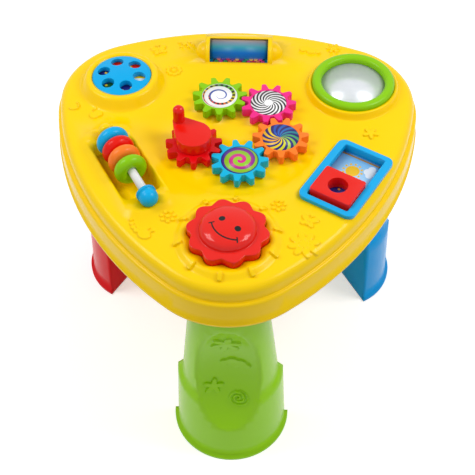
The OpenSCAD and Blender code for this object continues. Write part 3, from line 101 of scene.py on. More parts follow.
class Graph:
    """Builds one material's nodes. Values may be numbers or sockets."""

    def __init__(self, name):
        self.material = bpy.data.materials.new(name)
        self.material.use_nodes = True
        self.tree = self.material.node_tree
        self.shader = self.tree.nodes["Principled BSDF"]
        self.coords = None

    def node(self, kind, settings=None, **inputs):
        """A shader node with its settings and its inputs, whose names have _ for a space."""
        made = self.tree.nodes.new("ShaderNode" + kind)
        for key, value in (settings or {}).items():
            setattr(made, key, value)
        for key, value in inputs.items():
            self.put(made.inputs[key.replace("_", " ")], value)
        return made

    def put(self, socket, value):
        """Links a socket, or sets a constant."""
        if isinstance(value, bpy.types.NodeSocket):
            self.tree.links.new(value, socket)
        else:
            socket.default_value = value

    def set(self, **inputs):
        """Sets inputs of the shader."""
        for key, value in inputs.items():
            self.put(self.shader.inputs[key.replace("_", " ")], value)

    def where(self):
        """Object coordinates, which ride with the piece."""
        if self.coords is None:
            self.coords = self.node("TexCoord").outputs["Object"]
        return self.coords

    def math(self, op, a, b=0.0, c=0.0, clamp=False):
        made = self.tree.nodes.new("ShaderNodeMath")
        made.operation = op
        made.use_clamp = clamp
        for socket, value in zip(made.inputs, (a, b, c)):
            self.put(socket, value)
        return made.outputs[0]

    def add(self, a, b):
        return self.math("ADD", a, b)

    def minus(self, a, b):
        return self.math("SUBTRACT", a, b)

    def times(self, a, b):
        return self.math("MULTIPLY", a, b)

    def scaled(self, value, factor, start):
        """value times factor, plus start."""
        return self.math("MULTIPLY_ADD", value, factor, start)

    def axes(self, centre):
        """x, y and z from a centre."""
        moved = self.node("VectorMath", {"operation": "SUBTRACT"})
        self.put(moved.inputs[0], self.where())
        self.put(moved.inputs[1], tuple(centre))
        parts = self.node("SeparateXYZ", Vector=moved.outputs[0])
        return parts.outputs[0], parts.outputs[1], parts.outputs[2]

    def turned(self, x, y, angle):
        """x and y in axes that are turned by angle."""
        c, s = math.cos(angle), math.sin(angle)
        return self.scaled(x, c, self.times(y, s)), self.scaled(y, c, self.times(x, -s))

    def polar(self, x, y):
        """Radius, and angle as turns from 0 to 1."""
        radius = self.math("SQRT", self.add(self.times(x, x), self.times(y, y)))
        turns = self.add(self.math("DIVIDE", self.math("ARCTAN2", y, x), TAU), 0.5)
        return radius, turns

    def step(self, value, edge, soft):
        """0 below edge and 1 above it, over a narrow width."""
        made = self.node("MapRange", {"clamp": True, "interpolation_type": "SMOOTHSTEP"})
        self.put(made.inputs["Value"], value)
        self.put(made.inputs["From Min"], edge - soft)
        self.put(made.inputs["From Max"], edge + soft)
        return made.outputs[0]

    def below(self, value, edge, soft):
        """1 below edge and 0 above it."""
        return self.minus(1.0, self.step(value, edge, soft))

    def both(self, a, b):
        """Where both masks are."""
        return self.times(a, b)

    def either(self, a, b):
        """Where one mask or the other is."""
        return self.math("MAXIMUM", a, b)

    def stripes(self, value, count, edge, soft):
        """Mask of count stripes per unit of value, cut from a sine at edge."""
        return self.step(self.math("SINE", self.times(value, TAU * count)), edge, soft)

    def disc(self, x, y, cx, cy, r, soft):
        """Mask of a disc, whose centre, radius and edge are in millimetres."""
        away = self.polar(self.minus(x, cx * MM), self.minus(y, cy * MM))[0]
        return self.below(away, r * MM, soft * MM)

    def mix(self, share, a, b):
        """Colour a where share is 0 and b where it is 1."""
        made = self.tree.nodes.new("ShaderNodeMix")
        made.data_type = "RGBA"
        self.put(made.inputs[0], share)
        self.put(made.inputs[6], a)
        self.put(made.inputs[7], b)
        return made.outputs[2]

    def ramp(self, value, stops, stepped=False):
        """Colour by value, from stops of (place, colour)."""
        made = self.node("ValToRGB", Fac=value)
        made.color_ramp.interpolation = "CONSTANT" if stepped else "LINEAR"
        elements = made.color_ramp.elements
        while len(elements) < len(stops):
            elements.new(0.5)
        for element, (place, colour) in zip(elements, stops):
            element.position = place
            element.color = colour
        return made.outputs[0]

    def tinted(self, colour, value, saturation=1.0):
        """A colour made lighter or darker, and stronger or paler."""
        made = self.node("HueSaturation", Color=colour, Value=value, Saturation=saturation)
        return made.outputs[0]

    def noise(self, size, detail=2.0, roughness=0.5):
        """Noise whose features are about size across."""
        return self.node("TexNoise", Vector=self.where(), Scale=1 / size, Detail=detail,
                         Roughness=roughness).outputs[0]

    def uneven(self, noise, middle, spread):
        """A value that varies with noise round its middle."""
        return self.scaled(noise, spread, middle - spread / 2)

    def bump(self, height, depth, normal=None):
        """Normal of a surface that rises by up to depth where height is 1."""
        made = self.node("Bump", Height=height, Distance=depth)
        if normal is not None:
            self.put(made.inputs["Normal"], normal)
        return made.outputs[0]

    def rounded(self, radius):
        """Normal that turns over edges as if they had this radius."""
        return self.node("Bevel", {"samples": BEVEL_SAMPLES}, Radius=radius).outputs[0]


# ---- Finishes ----

EDGE_R = 0.5 * MM
PIGMENT_SIZE, FLOW_SIZE = 14 * MM, 55 * MM  # clouds of pigment and flow marks of moulded plastic
SKIN_SIZE, SKIN_DEPTH = 1.6 * MM, 0.012 * MM  # its fine skin
GLOSS_SIZE = 5 * MM  # patches of more and less gloss
PLASTIC_SPECULAR = 0.16
WEAR_GAIN = 1.4  # how fast the wear grows towards an edge
WEAR_ROUGHNESS = 0.12  # what full wear adds
SCREEN_SIZE = 0.35 * MM  # dots of a print
MARKS_DEPTH = 0.01 * MM  # of brushed metal and of laminate
MATTE_EDGE_R, MATTE_DEPTH = 0.3 * MM, 0.03 * MM


def moulded(name, colour, roughness=0.24, edge=EDGE_R, coat=0.04, art=None):
    """Injection-moulded plastic: cloudy pigment, flow marks, a fine skin, and pale, dull edges.

    edge is the radius that the shading gives the edges, and art(graph, colour) is its print.
    """
    g = Graph(name)
    body = colour if art is None else art(g, colour)
    clouds = g.math("MULTIPLY_ADD", g.noise(PIGMENT_SIZE, 3.0), 0.5,
                    g.times(g.noise(FLOW_SIZE, 1.0), 0.3), clamp=True)
    body = g.mix(clouds, body, g.tinted(body, value=0.95, saturation=1.02))
    soft_normal = g.rounded(edge)
    aligned = g.node("VectorMath", {"operation": "DOT_PRODUCT"})
    g.put(aligned.inputs[0], soft_normal)
    g.put(aligned.inputs[1], g.node("NewGeometry").outputs["Normal"])
    worn = g.math("MULTIPLY", g.minus(1.0, aligned.outputs["Value"]), WEAR_GAIN, clamp=True)
    rough = g.uneven(g.noise(GLOSS_SIZE, 4.0, 0.6), middle=roughness, spread=0.10)
    g.set(Base_Color=g.mix(worn, body, g.tinted(body, value=1.12, saturation=0.93)),
          Roughness=g.scaled(worn, WEAR_ROUGHNESS, rough),
          Normal=g.bump(g.noise(SKIN_SIZE), SKIN_DEPTH, soft_normal),
          Coat_Weight=coat, Coat_Roughness=0.06, IOR=1.5, Specular_IOR_Level=PLASTIC_SPECULAR)
    return g.material


def printed(name, art):
    """A printed, laminated card or film; art(graph) returns its colour."""
    g = Graph(name)
    colour = art(g)
    screen = g.times(g.noise(SCREEN_SIZE, 1.0), 0.35)
    g.set(Base_Color=g.mix(screen, colour, g.tinted(colour, value=0.93)),
          Roughness=g.uneven(g.noise(4 * MM, 3.0), middle=0.3, spread=0.12),
          Normal=g.bump(g.noise(2.5 * MM), MARKS_DEPTH),
          Coat_Weight=0.1, Coat_Roughness=0.08, Specular_IOR_Level=0.25)
    return g.material


def metal(name, colour, roughness=0.3):
    """Turned or drawn metal with fine marks."""
    g = Graph(name)
    marks = g.noise(0.5 * MM, 4.0, 0.7)
    g.set(Base_Color=g.mix(marks, colour, g.tinted(colour, value=0.8)), Metallic=1.0,
          Roughness=g.uneven(marks, middle=roughness, spread=0.25),
          Normal=g.bump(marks, MARKS_DEPTH))
    return g.material


def matte(name, colour, roughness=0.6):
    """Textured or unpolished plastic, rubber and board."""
    g = Graph(name)
    speck = g.noise(0.9 * MM, 3.0, 0.6)
    g.set(Base_Color=g.mix(speck, colour, g.tinted(colour, value=0.82)),
          Roughness=g.scaled(speck, 0.15, roughness - 0.07),
          Normal=g.bump(speck, MATTE_DEPTH, g.rounded(MATTE_EDGE_R)))
    return g.material


# ---- Art of the gear labels ----

LABEL_R = (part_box("label_blue")[1].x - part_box("label_blue")[0].x) / 2
INK_EDGE = 0.02  # softness of a printed edge, as a share of the label's radius


def label_polar(g, node):
    """Radius as a share of the label's own, and angle in turns, round its middle."""
    x, y, _ = g.axes(centre_of(node))
    radius, turns = g.polar(x, y)
    return g.math("DIVIDE", radius, LABEL_R), turns


def winding(g, arms_out, turns, start):
    """Place across a spiral's arm, from 0 to 1. arms_out is the radius in widths of an arm."""
    return g.math("FRACT", g.add(g.minus(arms_out, turns), start))


def pinwheel(node, blades, twist, inks, ground, hub):
    """Curved blades that run out from the hub of a label."""
    def art(g):
        share, turns = label_polar(g, node)
        bent = g.scaled(share, twist, turns)
        blade = g.stripes(bent, blades, 0.0, 0.12)
        colour = g.mix(blade, ground, g.ramp(g.math("FRACT", bent), inks))
        return g.mix(g.below(share, hub, INK_EDGE), colour, PAPER)
    return art


def two_arms(node, turns_across, outer, inner, second, start):
    """Two arms that wind round each other; the first fades from inner to outer."""
    def art(g):
        share, turns = label_polar(g, node)
        wound = winding(g, g.times(share, turns_across), turns, start)
        first = g.both(g.step(wound, 0.04, INK_EDGE), g.below(wound, 0.52, INK_EDGE))
        fade = g.ramp(share, [(0.0, inner), (0.45, inner), (0.9, outer)])
        rim = g.step(share, 0.965, INK_EDGE / 2)
        return g.mix(rim, g.mix(first, second, fade), NAVY)
    return art


DASHES = 18
OUTER_TURN_FROM = 0.6  # as a share of the label's radius


def dashed_spiral(node, pitch, start, inks):
    """One arm on white that widens outwards; its outer turn changes colour and has dashes."""
    def art(g):
        share, turns = label_polar(g, node)
        wound = winding(g, g.math("DIVIDE", share, pitch), turns, start)
        off = g.math("ABSOLUTE", g.minus(wound, 0.5))
        half_w = g.scaled(share, 0.34, -0.04)
        arm = g.both(g.below(g.minus(off, half_w), 0.0, 0.03), g.below(share, 0.97, INK_EDGE))
        outer = g.step(share, OUTER_TURN_FROM, INK_EDGE)
        dash = g.both(g.both(g.stripes(turns, DASHES, 0.0, 0.3), outer), g.below(off, 0.2, 0.03))
        ink = g.mix(outer, srgb(24, 70, 170), g.ramp(turns, inks))
        return g.mix(arm, PAPER, g.mix(dash, ink, BLACK))
    return art


WHEEL_INKS = [
    (0.0, srgb(250, 220, 30)), (0.2, srgb(250, 170, 30)), (0.35, srgb(250, 230, 40)),
    (0.5, srgb(170, 210, 50)), (0.65, srgb(40, 160, 120)), (0.8, srgb(20, 110, 200)),
    (1.0, srgb(30, 80, 190)),
]
DASHED_INKS = [
    (0.0, srgb(240, 120, 30)), (0.15, srgb(226, 40, 34)), (0.3, srgb(232, 90, 30)),
    (0.45, srgb(246, 214, 40)), (0.6, srgb(120, 190, 50)), (0.75, srgb(60, 160, 90)),
    (0.9, srgb(240, 210, 40)), (1.0, srgb(240, 120, 30)),
]


# ---- Art of the dial and the slider ----

DIAL_WEDGES = [
    (0.0, NAVY), (0.12, srgb(20, 90, 50)), (0.2, WHITE), (0.24, NAVY),
    (0.42, srgb(240, 130, 30)), (0.5, WHITE), (0.53, YELLOW), (0.6, NAVY),
    (0.66, RED), (0.74, BLACK), (0.8, RED), (0.88, NAVY),
]
DIAL_TURN = 0.03  # of the wedges, in turns
DOTS_R, DOTS_HALF_W, DOT_COUNT = 19.5 * MM, 1.3 * MM, 12


def dial_art(g):
    """Wedges of plain colours and a ring of dots."""
    x, y, _ = g.axes(DIAL)
    radius, turns = g.polar(x, y)
    wedges = g.ramp(g.math("FRACT", g.add(turns, DIAL_TURN)), DIAL_WEDGES, stepped=True)
    from_ring = g.math("ABSOLUTE", g.minus(radius, DOTS_R))
    dots = g.both(g.below(from_ring, DOTS_HALF_W, 0.2 * MM),
                  g.stripes(turns, DOT_COUNT, 0.75, 0.1))
    return g.mix(dots, wedges, YELLOW)


SIDE_TURN = math.radians(240)  # from the table's x axis to the run of the slider
PICTURE_SUN = (-18.4, -2.5)
PICTURE_SUN_R, PICTURE_RAY_IN, PICTURE_RAY_OUT = 7.2, 8.2, 10.6
PUFFS = ((-25, 11.5, 4.4), (-21, 14.5, 3.6), (-30, 13.5, 4.0), (-25, 17, 3.6))
STARS = ((10.4, -2.0, 1.3), (6, -9, 0.8), (24, 9, 0.9), (27, -5, 0.8), (7, 10, 0.9))
BORDER_FROM, BORDER_TO = -37.8, -35.8


def picture_art(g):
    """Day sky with a sun and a cloud behind, night sky with stars in front."""
    x, y, _ = g.axes(PICTURE)
    along, across = g.turned(x, y, SIDE_TURN)
    colour = g.ramp(g.scaled(along, 14.0, 0.6), [
        (0.0, srgb(120, 196, 248)), (0.5, srgb(190, 226, 252)), (1.0, srgb(236, 246, 255))])
    sun_x, sun_y = PICTURE_SUN
    far, turns = g.polar(g.minus(along, sun_x * MM), g.minus(across, sun_y * MM))
    rays = g.both(g.stripes(turns, 12, 0.2, 0.3),
                  g.both(g.step(far, PICTURE_RAY_IN * MM, 0.3 * MM),
                         g.below(far, PICTURE_RAY_OUT * MM, 0.4 * MM)))
    sun = g.below(far, PICTURE_SUN_R * MM, 0.25 * MM)
    colour = g.mix(g.either(rays, sun), colour, srgb(252, 200, 40))
    for cx, cy, r in PUFFS:
        colour = g.mix(g.disc(along, across, cx, cy, r, 0.3), colour, srgb(250, 252, 255))
    border = g.both(g.step(along, BORDER_FROM * MM, 0.2 * MM),
                    g.below(along, BORDER_TO * MM, 0.2 * MM))
    colour = g.mix(border, colour, srgb(236, 160, 40))
    night = srgb(40, 48, 160)
    for cx, cy, r in STARS:
        night = g.mix(g.disc(along, across, cx, cy, r, 0.2), night, srgb(250, 210, 60))
    return g.mix(g.step(along, 0.0, 0.3 * MM), colour, night)


# ---- The face of the sun, in millimetres from its middle ----

EYES = ((-5.4, 4.6), (9.7, -6.8))
EYE_R = 3.1
SMILE = ((-15.0, 0.7), (-5.0, -15.0), (9.6, -18.5))  # one end, a point between, the other end
SMILE_HALF_W = 0.7
TICK_HALF_L = 2.2
STROKE_SOFT = 0.15
FACE_ABOVE = 30  # from the contact pad; the print lies above this height only


def circle_through(a, b, c):
    """Centre and radius of the circle through three points."""
    ax, ay = a
    bx, by = b
    cx, cy = c
    aa, bb, cc = ax * ax + ay * ay, bx * bx + by * by, cx * cx + cy * cy
    d = 2 * (ax * (by - cy) + bx * (cy - ay) + cx * (ay - by))
    ux = (aa * (by - cy) + bb * (cy - ay) + cc * (ay - by)) / d
    uy = (aa * (cx - bx) + bb * (ax - cx) + cc * (bx - ax)) / d
    return ux, uy, math.hypot(ax - ux, ay - uy)


def stroke(g, x, y, a, b, half_w):
    """Mask of a straight stroke from a to b with round ends."""
    ax, ay = a[0] * MM, a[1] * MM
    dx, dy = b[0] * MM - ax, b[1] * MM - ay
    px, py = g.minus(x, ax), g.minus(y, ay)
    share = g.math("DIVIDE", g.scaled(px, dx, g.times(py, dy)), dx * dx + dy * dy, clamp=True)
    away = g.polar(g.minus(px, g.times(share, dx)), g.minus(py, g.times(share, dy)))[0]
    return g.below(away, half_w * MM, STROKE_SOFT * MM)


def sun_face(g, colour):
    """Two round eyes, and a smile with a tick at each end, printed on the dome."""
    x, y, z = g.axes(SUN)
    ink = g.either(*[g.disc(x, y, ex, ey, EYE_R, 0.2) for ex, ey in EYES])
    cx, cy, r = circle_through(*SMILE)
    from_middle = g.polar(g.minus(x, cx * MM), g.minus(y, cy * MM))[0]
    off = g.math("ABSOLUTE", g.minus(from_middle, r * MM))
    start, _, end = SMILE
    chord_x, chord_y = end[0] - start[0], end[1] - start[1]
    above_chord = g.add(g.times(g.minus(x, start[0] * MM), -chord_y),
                        g.times(g.minus(y, start[1] * MM), chord_x))
    smile = g.both(g.below(off, SMILE_HALF_W * MM, STROKE_SOFT * MM),
                   g.below(above_chord, 0.0, 0.1 * MM))
    ink = g.either(ink, smile)
    for tx, ty in (start, end):
        ox, oy = (tx - cx) / r * TICK_HALF_L, (ty - cy) / r * TICK_HALF_L
        tick = stroke(g, x, y, (tx - ox, ty - oy), (tx + ox, ty + oy), SMILE_HALF_W)
        ink = g.either(ink, tick)
    ink = g.both(ink, g.step(z, FACE_ABOVE * MM, 1 * MM))
    return g.mix(ink, colour, BLACK)


# ---- Other materials of single nodes ----

DRUM_BLUE = srgb(10, 80, 170)
# Round the tube: its own blue, then painted grey highlights and a painted tan reflection of the
# yellow shell behind it.
DRUM_BLUE_AND_PAINTED_REFLECTIONS = [
    (0.0, DRUM_BLUE), (0.5, srgb(120, 126, 136)), (0.66, srgb(150, 152, 156)),
    (0.71, srgb(206, 178, 130)), (0.76, srgb(140, 150, 170)), (0.82, srgb(60, 160, 176)),
    (0.88, srgb(10, 110, 200)), (1.0, DRUM_BLUE),
]
TINT_ALPHA, CLEAR_ALPHA = 0.8, 0.12
CLEAR_FROM, CLEAR_MIDDLE, CLEAR_TO = 0.94, 0.2, 0.66  # in turns round the drum, through 0
BEAD_COLOURS = [
    (0.0, RED), (0.17, srgb(60, 170, 60)), (0.34, srgb(250, 210, 40)), (0.5, ORANGE),
    (0.67, srgb(120, 60, 170)), (0.84, srgb(230, 60, 150)),
]
TRACKS_ACROSS, TRACKS_ALONG = 1500.0, 1100.0  # radians per metre
CELL_WRAP_END = 15 * MM


def drum_material():
    """Blue tube with painted grey highlights and a painted tan reflection of the yellow shell in
    bands round it, and clear at its back and front.
    """
    g = Graph("drum_tube_painted_reflections")
    _, y, z = g.axes(ROLLER)
    around = g.polar(y, z)[1]
    streaks = g.node("TexNoise", Vector=g.where(), Scale=60.0, Detail=2.0).outputs[0]
    front = g.either(g.step(around, CLEAR_FROM, 0.015), g.below(around, CLEAR_MIDDLE, 0.02))
    back = g.both(g.step(around, CLEAR_MIDDLE, 0.02), g.below(around, CLEAR_TO, 0.04))
    clear = g.either(front, back)
    g.set(Base_Color=g.ramp(around, DRUM_BLUE_AND_PAINTED_REFLECTIONS),
          Roughness=g.uneven(streaks, middle=0.31, spread=0.1),
          Alpha=g.minus(TINT_ALPHA, g.times(clear, TINT_ALPHA - CLEAR_ALPHA)),
          Normal=g.bump(streaks, 0.02 * MM), Specular_IOR_Level=0.2)
    return g.material


def bead_material():
    """Beads of six colours, which glow a little so that they show through the tube."""
    g = Graph("beads_mixed")
    bead = g.node("NewGeometry").outputs["Random Per Island"]
    colour = g.ramp(bead, BEAD_COLOURS, stepped=True)
    g.set(Base_Color=colour, Roughness=g.uneven(g.noise(1.5 * MM), middle=0.17, spread=0.1),
          Normal=g.bump(g.noise(0.8 * MM), 0.01 * MM),
          Emission_Color=colour, Emission_Strength=0.5, Coat_Weight=0.4)
    return g.material


def mirror_material():
    """Silvered film that scatters what it reflects; its pale grey colour is a painted reflection
    of the white studio.
    """
    g = Graph("mirror_film_painted_reflection")
    haze_and_painted_reflection = g.noise(9 * MM)
    # Two pale greys in patches: a painted reflection of the white studio; the same noise sets the
    # film's haze.
    g.set(Base_Color=g.mix(haze_and_painted_reflection, srgb(232, 234, 238), srgb(214, 218, 226)), Metallic=0.3,
          Roughness=g.uneven(haze_and_painted_reflection, middle=0.3, spread=0.08), Normal=g.bump(haze_and_painted_reflection, 0.02 * MM))
    return g.material


def board_art(g):
    """Copper tracks under green lacquer."""
    x, y, _ = g.axes(centre_of("circuit_board"))
    tracks = g.either(g.step(g.math("SINE", g.times(x, TRACKS_ACROSS)), 0.6, 0.1),
                      g.step(g.math("SINE", g.times(y, TRACKS_ALONG)), 0.8, 0.1))
    return g.mix(g.times(tracks, 0.6), srgb(16, 92, 44), srgb(50, 140, 66))


def cell_art(g):
    """Dark wrap with a copper-coloured end."""
    _, y, _ = g.axes(centre_of("batteries"))
    end = g.step(g.math("ABSOLUTE", y), CELL_WRAP_END, 0.3 * MM)
    return g.mix(end, srgb(34, 34, 38), srgb(206, 128, 48))


# ---- Finish of every node ----

def dress(material, *nodes):
    """Gives CAD nodes a material."""
    for node in nodes:
        data = NODES[node].data
        data.materials.clear()
        data.materials.append(material)


PLAIN_PLASTIC = [
    ("shell_yellow", YELLOW, "top_shell", "bottom_cover", "battery_door", "rod_mount_back"),
    ("leg_green", LEG_GREEN, "leg_front"),
    ("leg_red", LEG_RED, "leg_back_left"),
    ("leg_blue", LEG_BLUE, "leg_back_right"),
    ("crank_gear_red", CRIMSON, "crank_gear"),
    ("gear_light_blue", GEAR_BLUE, "gear_blue"),
    ("gear_orange", ORANGE, "gear_orange"),
    ("gear_pink", PINK, "gear_pink"),
    ("gear_green", GREEN, "gear_green"),
    ("dial_light_blue", LIGHT_BLUE, "dial_disc"),
    ("mirror_ring_green", GREEN, "mirror_ring"),
    ("mount_blue", BLUE, "rod_mount_front"),
    ("ring_blue", BLUE, "ring_blue"),
    ("ring_red", RED, "ring_red"),
    ("ring_orange", ORANGE, "ring_orange"),
    ("ring_green", GREEN, "ring_green"),
    ("rod_white", WHITE, "abacus_rod"),
    ("cap_blue", BLUE, "roller_cap_left", "roller_cap_right"),
    ("knob_red", RED, "power_switch_knob"),
]
for material_name, plastic_colour, *plastic_nodes in PLAIN_PLASTIC:
    dress(moulded(material_name, plastic_colour), *plastic_nodes)

dress(moulded("handle_red", RED, 0.2, edge=0.9 * MM, coat=0.2), "crank_handle")
dress(moulded("sun_red", RED, 0.16, edge=0.9 * MM, coat=0.3, art=sun_face), "sun_button")
dress(moulded("frame_light_blue", LIGHT_BLUE, 0.2, edge=0.8 * MM, coat=0.25), "slider_frame")
dress(moulded("block_red", RED, 0.18, edge=0.8 * MM, coat=0.3), "slider_block")
dress(drum_material(), "roller_tube")
dress(bead_material(), "roller_beads")
dress(mirror_material(), "mirror_disc")

blue_label = two_arms("label_blue", 2.1, outer=srgb(76, 44, 160), inner=srgb(214, 40, 140),
                      second=srgb(150, 205, 40), start=0.3)
PRINTS = [
    ("label_spiral_two", blue_label, "label_blue"),
    ("label_wheel_colours", pinwheel("label_orange", 13, 0.16, WHEEL_INKS, NAVY, hub=0.0),
     "label_orange"),
    ("label_wheel_black",
     pinwheel("label_pink", 13, 0.34, [(0.0, BLACK), (1.0, BLACK)], PAPER, hub=0.24),
     "label_pink"),
    ("label_spiral_dashed", dashed_spiral("label_green", 0.42, 0.15, DASHED_INKS),
     "label_green"),
    ("dial_print", dial_art, "dial_picture"),
    ("slider_print", picture_art, "slider_picture"),
    ("board_green", board_art, "circuit_board"),
    ("cell_wrap", cell_art, "batteries"),
]
for material_name, print_art, printed_node in PRINTS:
    dress(printed(material_name, print_art), printed_node)

dress(metal("screw_steel", STEEL),
      "case_screws", "gear_screws", "trim_screws", "dial_screw", "battery_door_screw")
dress(metal("pressed_steel", STEEL, 0.35),
      "gear_washers", "dial_washer", "sun_clip", "battery_contacts", "speaker_magnet")
dress(metal("spring_steel", srgb(170, 174, 180), 0.25), "sun_spring", "battery_springs")
dress(matte("pad_rubber", srgb(46, 46, 50), 0.75), "sun_contact_pad")
dress(matte("chip_black", srgb(34, 34, 38)), "music_chip", "power_switch_body")
dress(matte("speaker_black", srgb(40, 40, 44)), "speaker_frame")
dress(matte("cone_paper", srgb(30, 30, 32), 0.85), "speaker_cone")
dress(matte("wire_red", srgb(200, 34, 30), 0.45), "speaker_wires")
dress(matte("wire_black", srgb(26, 26, 28), 0.45), "battery_wires")
dress(matte("bearing_ivory", srgb(226, 220, 200), 0.5), "roller_bearings")


# ---- Edges of the nodes ----

SHADE_ANGLE = math.radians(32)  # edges sharper than this are shaded as edges
FLAT_ANGLE = math.radians(0.5)  # faces that differ by less become one
WELD_GAP = 0.002 * MM
BEVEL_SEGMENTS = 3
ROUNDED = {  # radius in millimetres
    "crank_handle": 1.4, "sun_button": 1.6, "slider_block": 1.6, "slider_frame": 2.1,
    "mirror_ring": 0.8, "crank_gear": 0.7, "gear_blue": 0.7, "gear_orange": 0.7,
    "gear_pink": 0.7, "gear_green": 0.7, "dial_disc": 0.8,
}


def finish_edges(piece, radius):
    """Shades a node's round faces smooth, and rounds its edges if a radius is given."""
    weld = piece.modifiers.new("weld", "WELD")
    weld.merge_threshold = WELD_GAP
    piece.data.shade_smooth()
    if radius is None:
        piece.data.set_sharp_from_angle(angle=SHADE_ANGLE)
        return
    flat = piece.modifiers.new("flat", "DECIMATE")
    flat.decimate_type = "DISSOLVE"
    flat.angle_limit = FLAT_ANGLE
    bevel = piece.modifiers.new("bevel", "BEVEL")
    bevel.limit_method = "ANGLE"
    bevel.angle_limit = SHADE_ANGLE
    bevel.width = radius * MM
    bevel.segments = BEVEL_SEGMENTS
    bevel.use_clamp_overlap = True
    bevel.harden_normals = True


for cad_name, cad_object in NODES.items():
    finish_edges(cad_object, ROUNDED.get(cad_name))


# ---- Shapes of the reliefs ----
# Each takes x and y in millimetres and returns a rough distance, which is negative inside.

def melt(distances, k):
    """Smooth union of distances; k is the width over which they melt together."""
    total = sum(math.exp(-d / k) for d in distances)
    return -k * math.log(max(total, 1e-30))


def blob(x, y, cx, cy, rx, ry, turn=0.0):
    """An ellipse."""
    c, s = math.cos(turn), math.sin(turn)
    dx, dy = x - cx, y - cy
    u, v = dx * c + dy * s, dy * c - dx * s
    k = math.hypot(u / rx, v / ry)
    return (k - 1) * min(rx, ry)


def disc(x, y, cx, cy, r):
    return math.hypot(x - cx, y - cy) - r


def bar(x, y, ax, ay, bx, by, r):
    """A stroke with round ends."""
    dx, dy = bx - ax, by - ay
    t = max(0.0, min(1.0, ((x - ax) * dx + (y - ay) * dy) / (dx * dx + dy * dy)))
    return math.hypot(x - ax - t * dx, y - ay - t * dy) - r


def petal_places(petals, r):
    """Angle and centre of each petal."""
    for k in range(petals):
        a = TAU * k / petals
        yield a, r * math.cos(a), r * math.sin(a)


def daisy(petals, r, petal_l, petal_w, heart):
    """Long petals that grow out of the heart."""
    def shape(x, y):
        parts = [blob(x, y, 0, 0, heart, heart)]
        parts += [blob(x, y, cx, cy, petal_l, petal_w, a)
                  for a, cx, cy in petal_places(petals, r)]
        return melt(parts, 0.35)
    return shape


def ring_daisy(petals, r, petal_r, heart):
    """Round petals in a ring, apart from the heart by a groove."""
    def shape(x, y):
        parts = [blob(x, y, cx, cy, petal_r, petal_r) for _, cx, cy in petal_places(petals, r)]
        ring = max(melt(parts, 0.4), heart + 1.0 - math.hypot(x, y))
        return min(ring, math.hypot(x, y) - heart)
    return shape


def butterfly(x, y):
    wings = [blob(x, y, side * 4.2, 2.8, 4.6, 3.0, side * 0.6) for side in (-1, 1)]
    wings += [blob(x, y, side * 3.4, -3.2, 3.4, 2.4, -side * 0.6) for side in (-1, 1)]
    body = bar(x, y, 0, -4.6, 0, 4.4, 0.9)
    feelers = [bar(x, y, 0, 4.4, side * 2.2, 7.6, 0.45) for side in (-1, 1)]
    return min(melt(wings, 0.3), body, *feelers)


CLOUD_PUFFS = ((-7, -0.6, 3.6), (-2, 1.8, 4.4), (4, 1.2, 4.0), (8.4, -1.0, 3.0), (1, -1.6, 4.2))


def cloud(x, y):
    return melt([blob(x, y, cx, cy, r, r * 0.85) for cx, cy, r in CLOUD_PUFFS], 0.5)


BUG_TAIL = ((-13, 4.6, 2.0), (-9.6, 1.4, 2.2), (-6, -1.2, 2.5), (-1.6, -2.6, 2.8))


def crawling_bug(x, y):
    tail = [disc(x, y, cx, cy, r) for cx, cy, r in BUG_TAIL]
    head = blob(x, y, 6.5, -2.4, 6.4, 5.2)
    feelers = [bar(x, y, 9, 1.5, 11.5, 5.4, 0.5), bar(x, y, 6, 2.5, 6.6, 6.4, 0.5)]
    return min(*tail, head, *feelers)


def apple(x, y):
    fruit = melt([blob(x, y, -2.6, 0, 4.0, 4.8), blob(x, y, 2.6, 0, 4.0, 4.8)], 0.5)
    stalk = bar(x, y, 0, 4.2, 0.6, 7.4, 0.5)
    leaf = blob(x, y, 3.2, 6.8, 2.8, 1.2, 0.5)
    return min(fruit, stalk, leaf)


def star(x, y):
    r = math.hypot(x, y)
    a = math.atan2(y, x)
    return r - (5.6 + 2.2 * math.cos(5 * a))


DOTS = ((0, 0, 2.2), (5, 2.6, 1.5), (-4.6, 3.0, 1.6), (3.2, -4.2, 1.4), (-3.8, -3.8, 1.5),
        (8.6, -1.6, 1.3))


def dots(x, y):
    return min(disc(x, y, cx, cy, r) for cx, cy, r in DOTS)


def leaf_curl(x, y):
    curl = max(abs(math.hypot(x, y) - 5.0) - 0.8, y - 1.0)
    return min(curl, disc(x, y, 5.0, 1.6, 1.3))


SNAIL_PITCH, SNAIL_R = 2.9, 7.5
SNAIL_ARM_SHARE = 0.26  # half the arm's width, as a share of the pitch


def snail(x, y):
    """A spiral inside a circle."""
    r, a = math.hypot(x, y), math.atan2(y, x) / TAU
    wound = (r / SNAIL_PITCH - a) % 1.0
    arm = (abs(wound - 0.5) - SNAIL_ARM_SHARE) * SNAIL_PITCH
    return max(arm, r - SNAIL_R)


# ---- Reliefs, in millimetres ----

PROBE_LIFT = 40  # rays start this far outside the surface
ROOT = 0.8  # depth of a relief inside its node
MARGIN = 1.2  # points further outside the shape than this are left out
FLANK_W = 0.8  # width of the slope round a shape
FLANK_ON_EDGE = 0.35  # share of the slope that lies outside the shape's edge
SINK = 0.12  # depth of the slope's foot below the surface
CREASE_ANGLE = math.radians(50)
SIDES = {(0, -1): (0, 1), (1, 0): (1, 2), (0, 1): (2, 3), (-1, 0): (3, 0)}  # neighbour: corners


def add_object(name, data):
    """Puts new data into the scene as an object."""
    made = bpy.data.objects.new(name, data)
    bpy.context.scene.collection.objects.link(made)
    return made


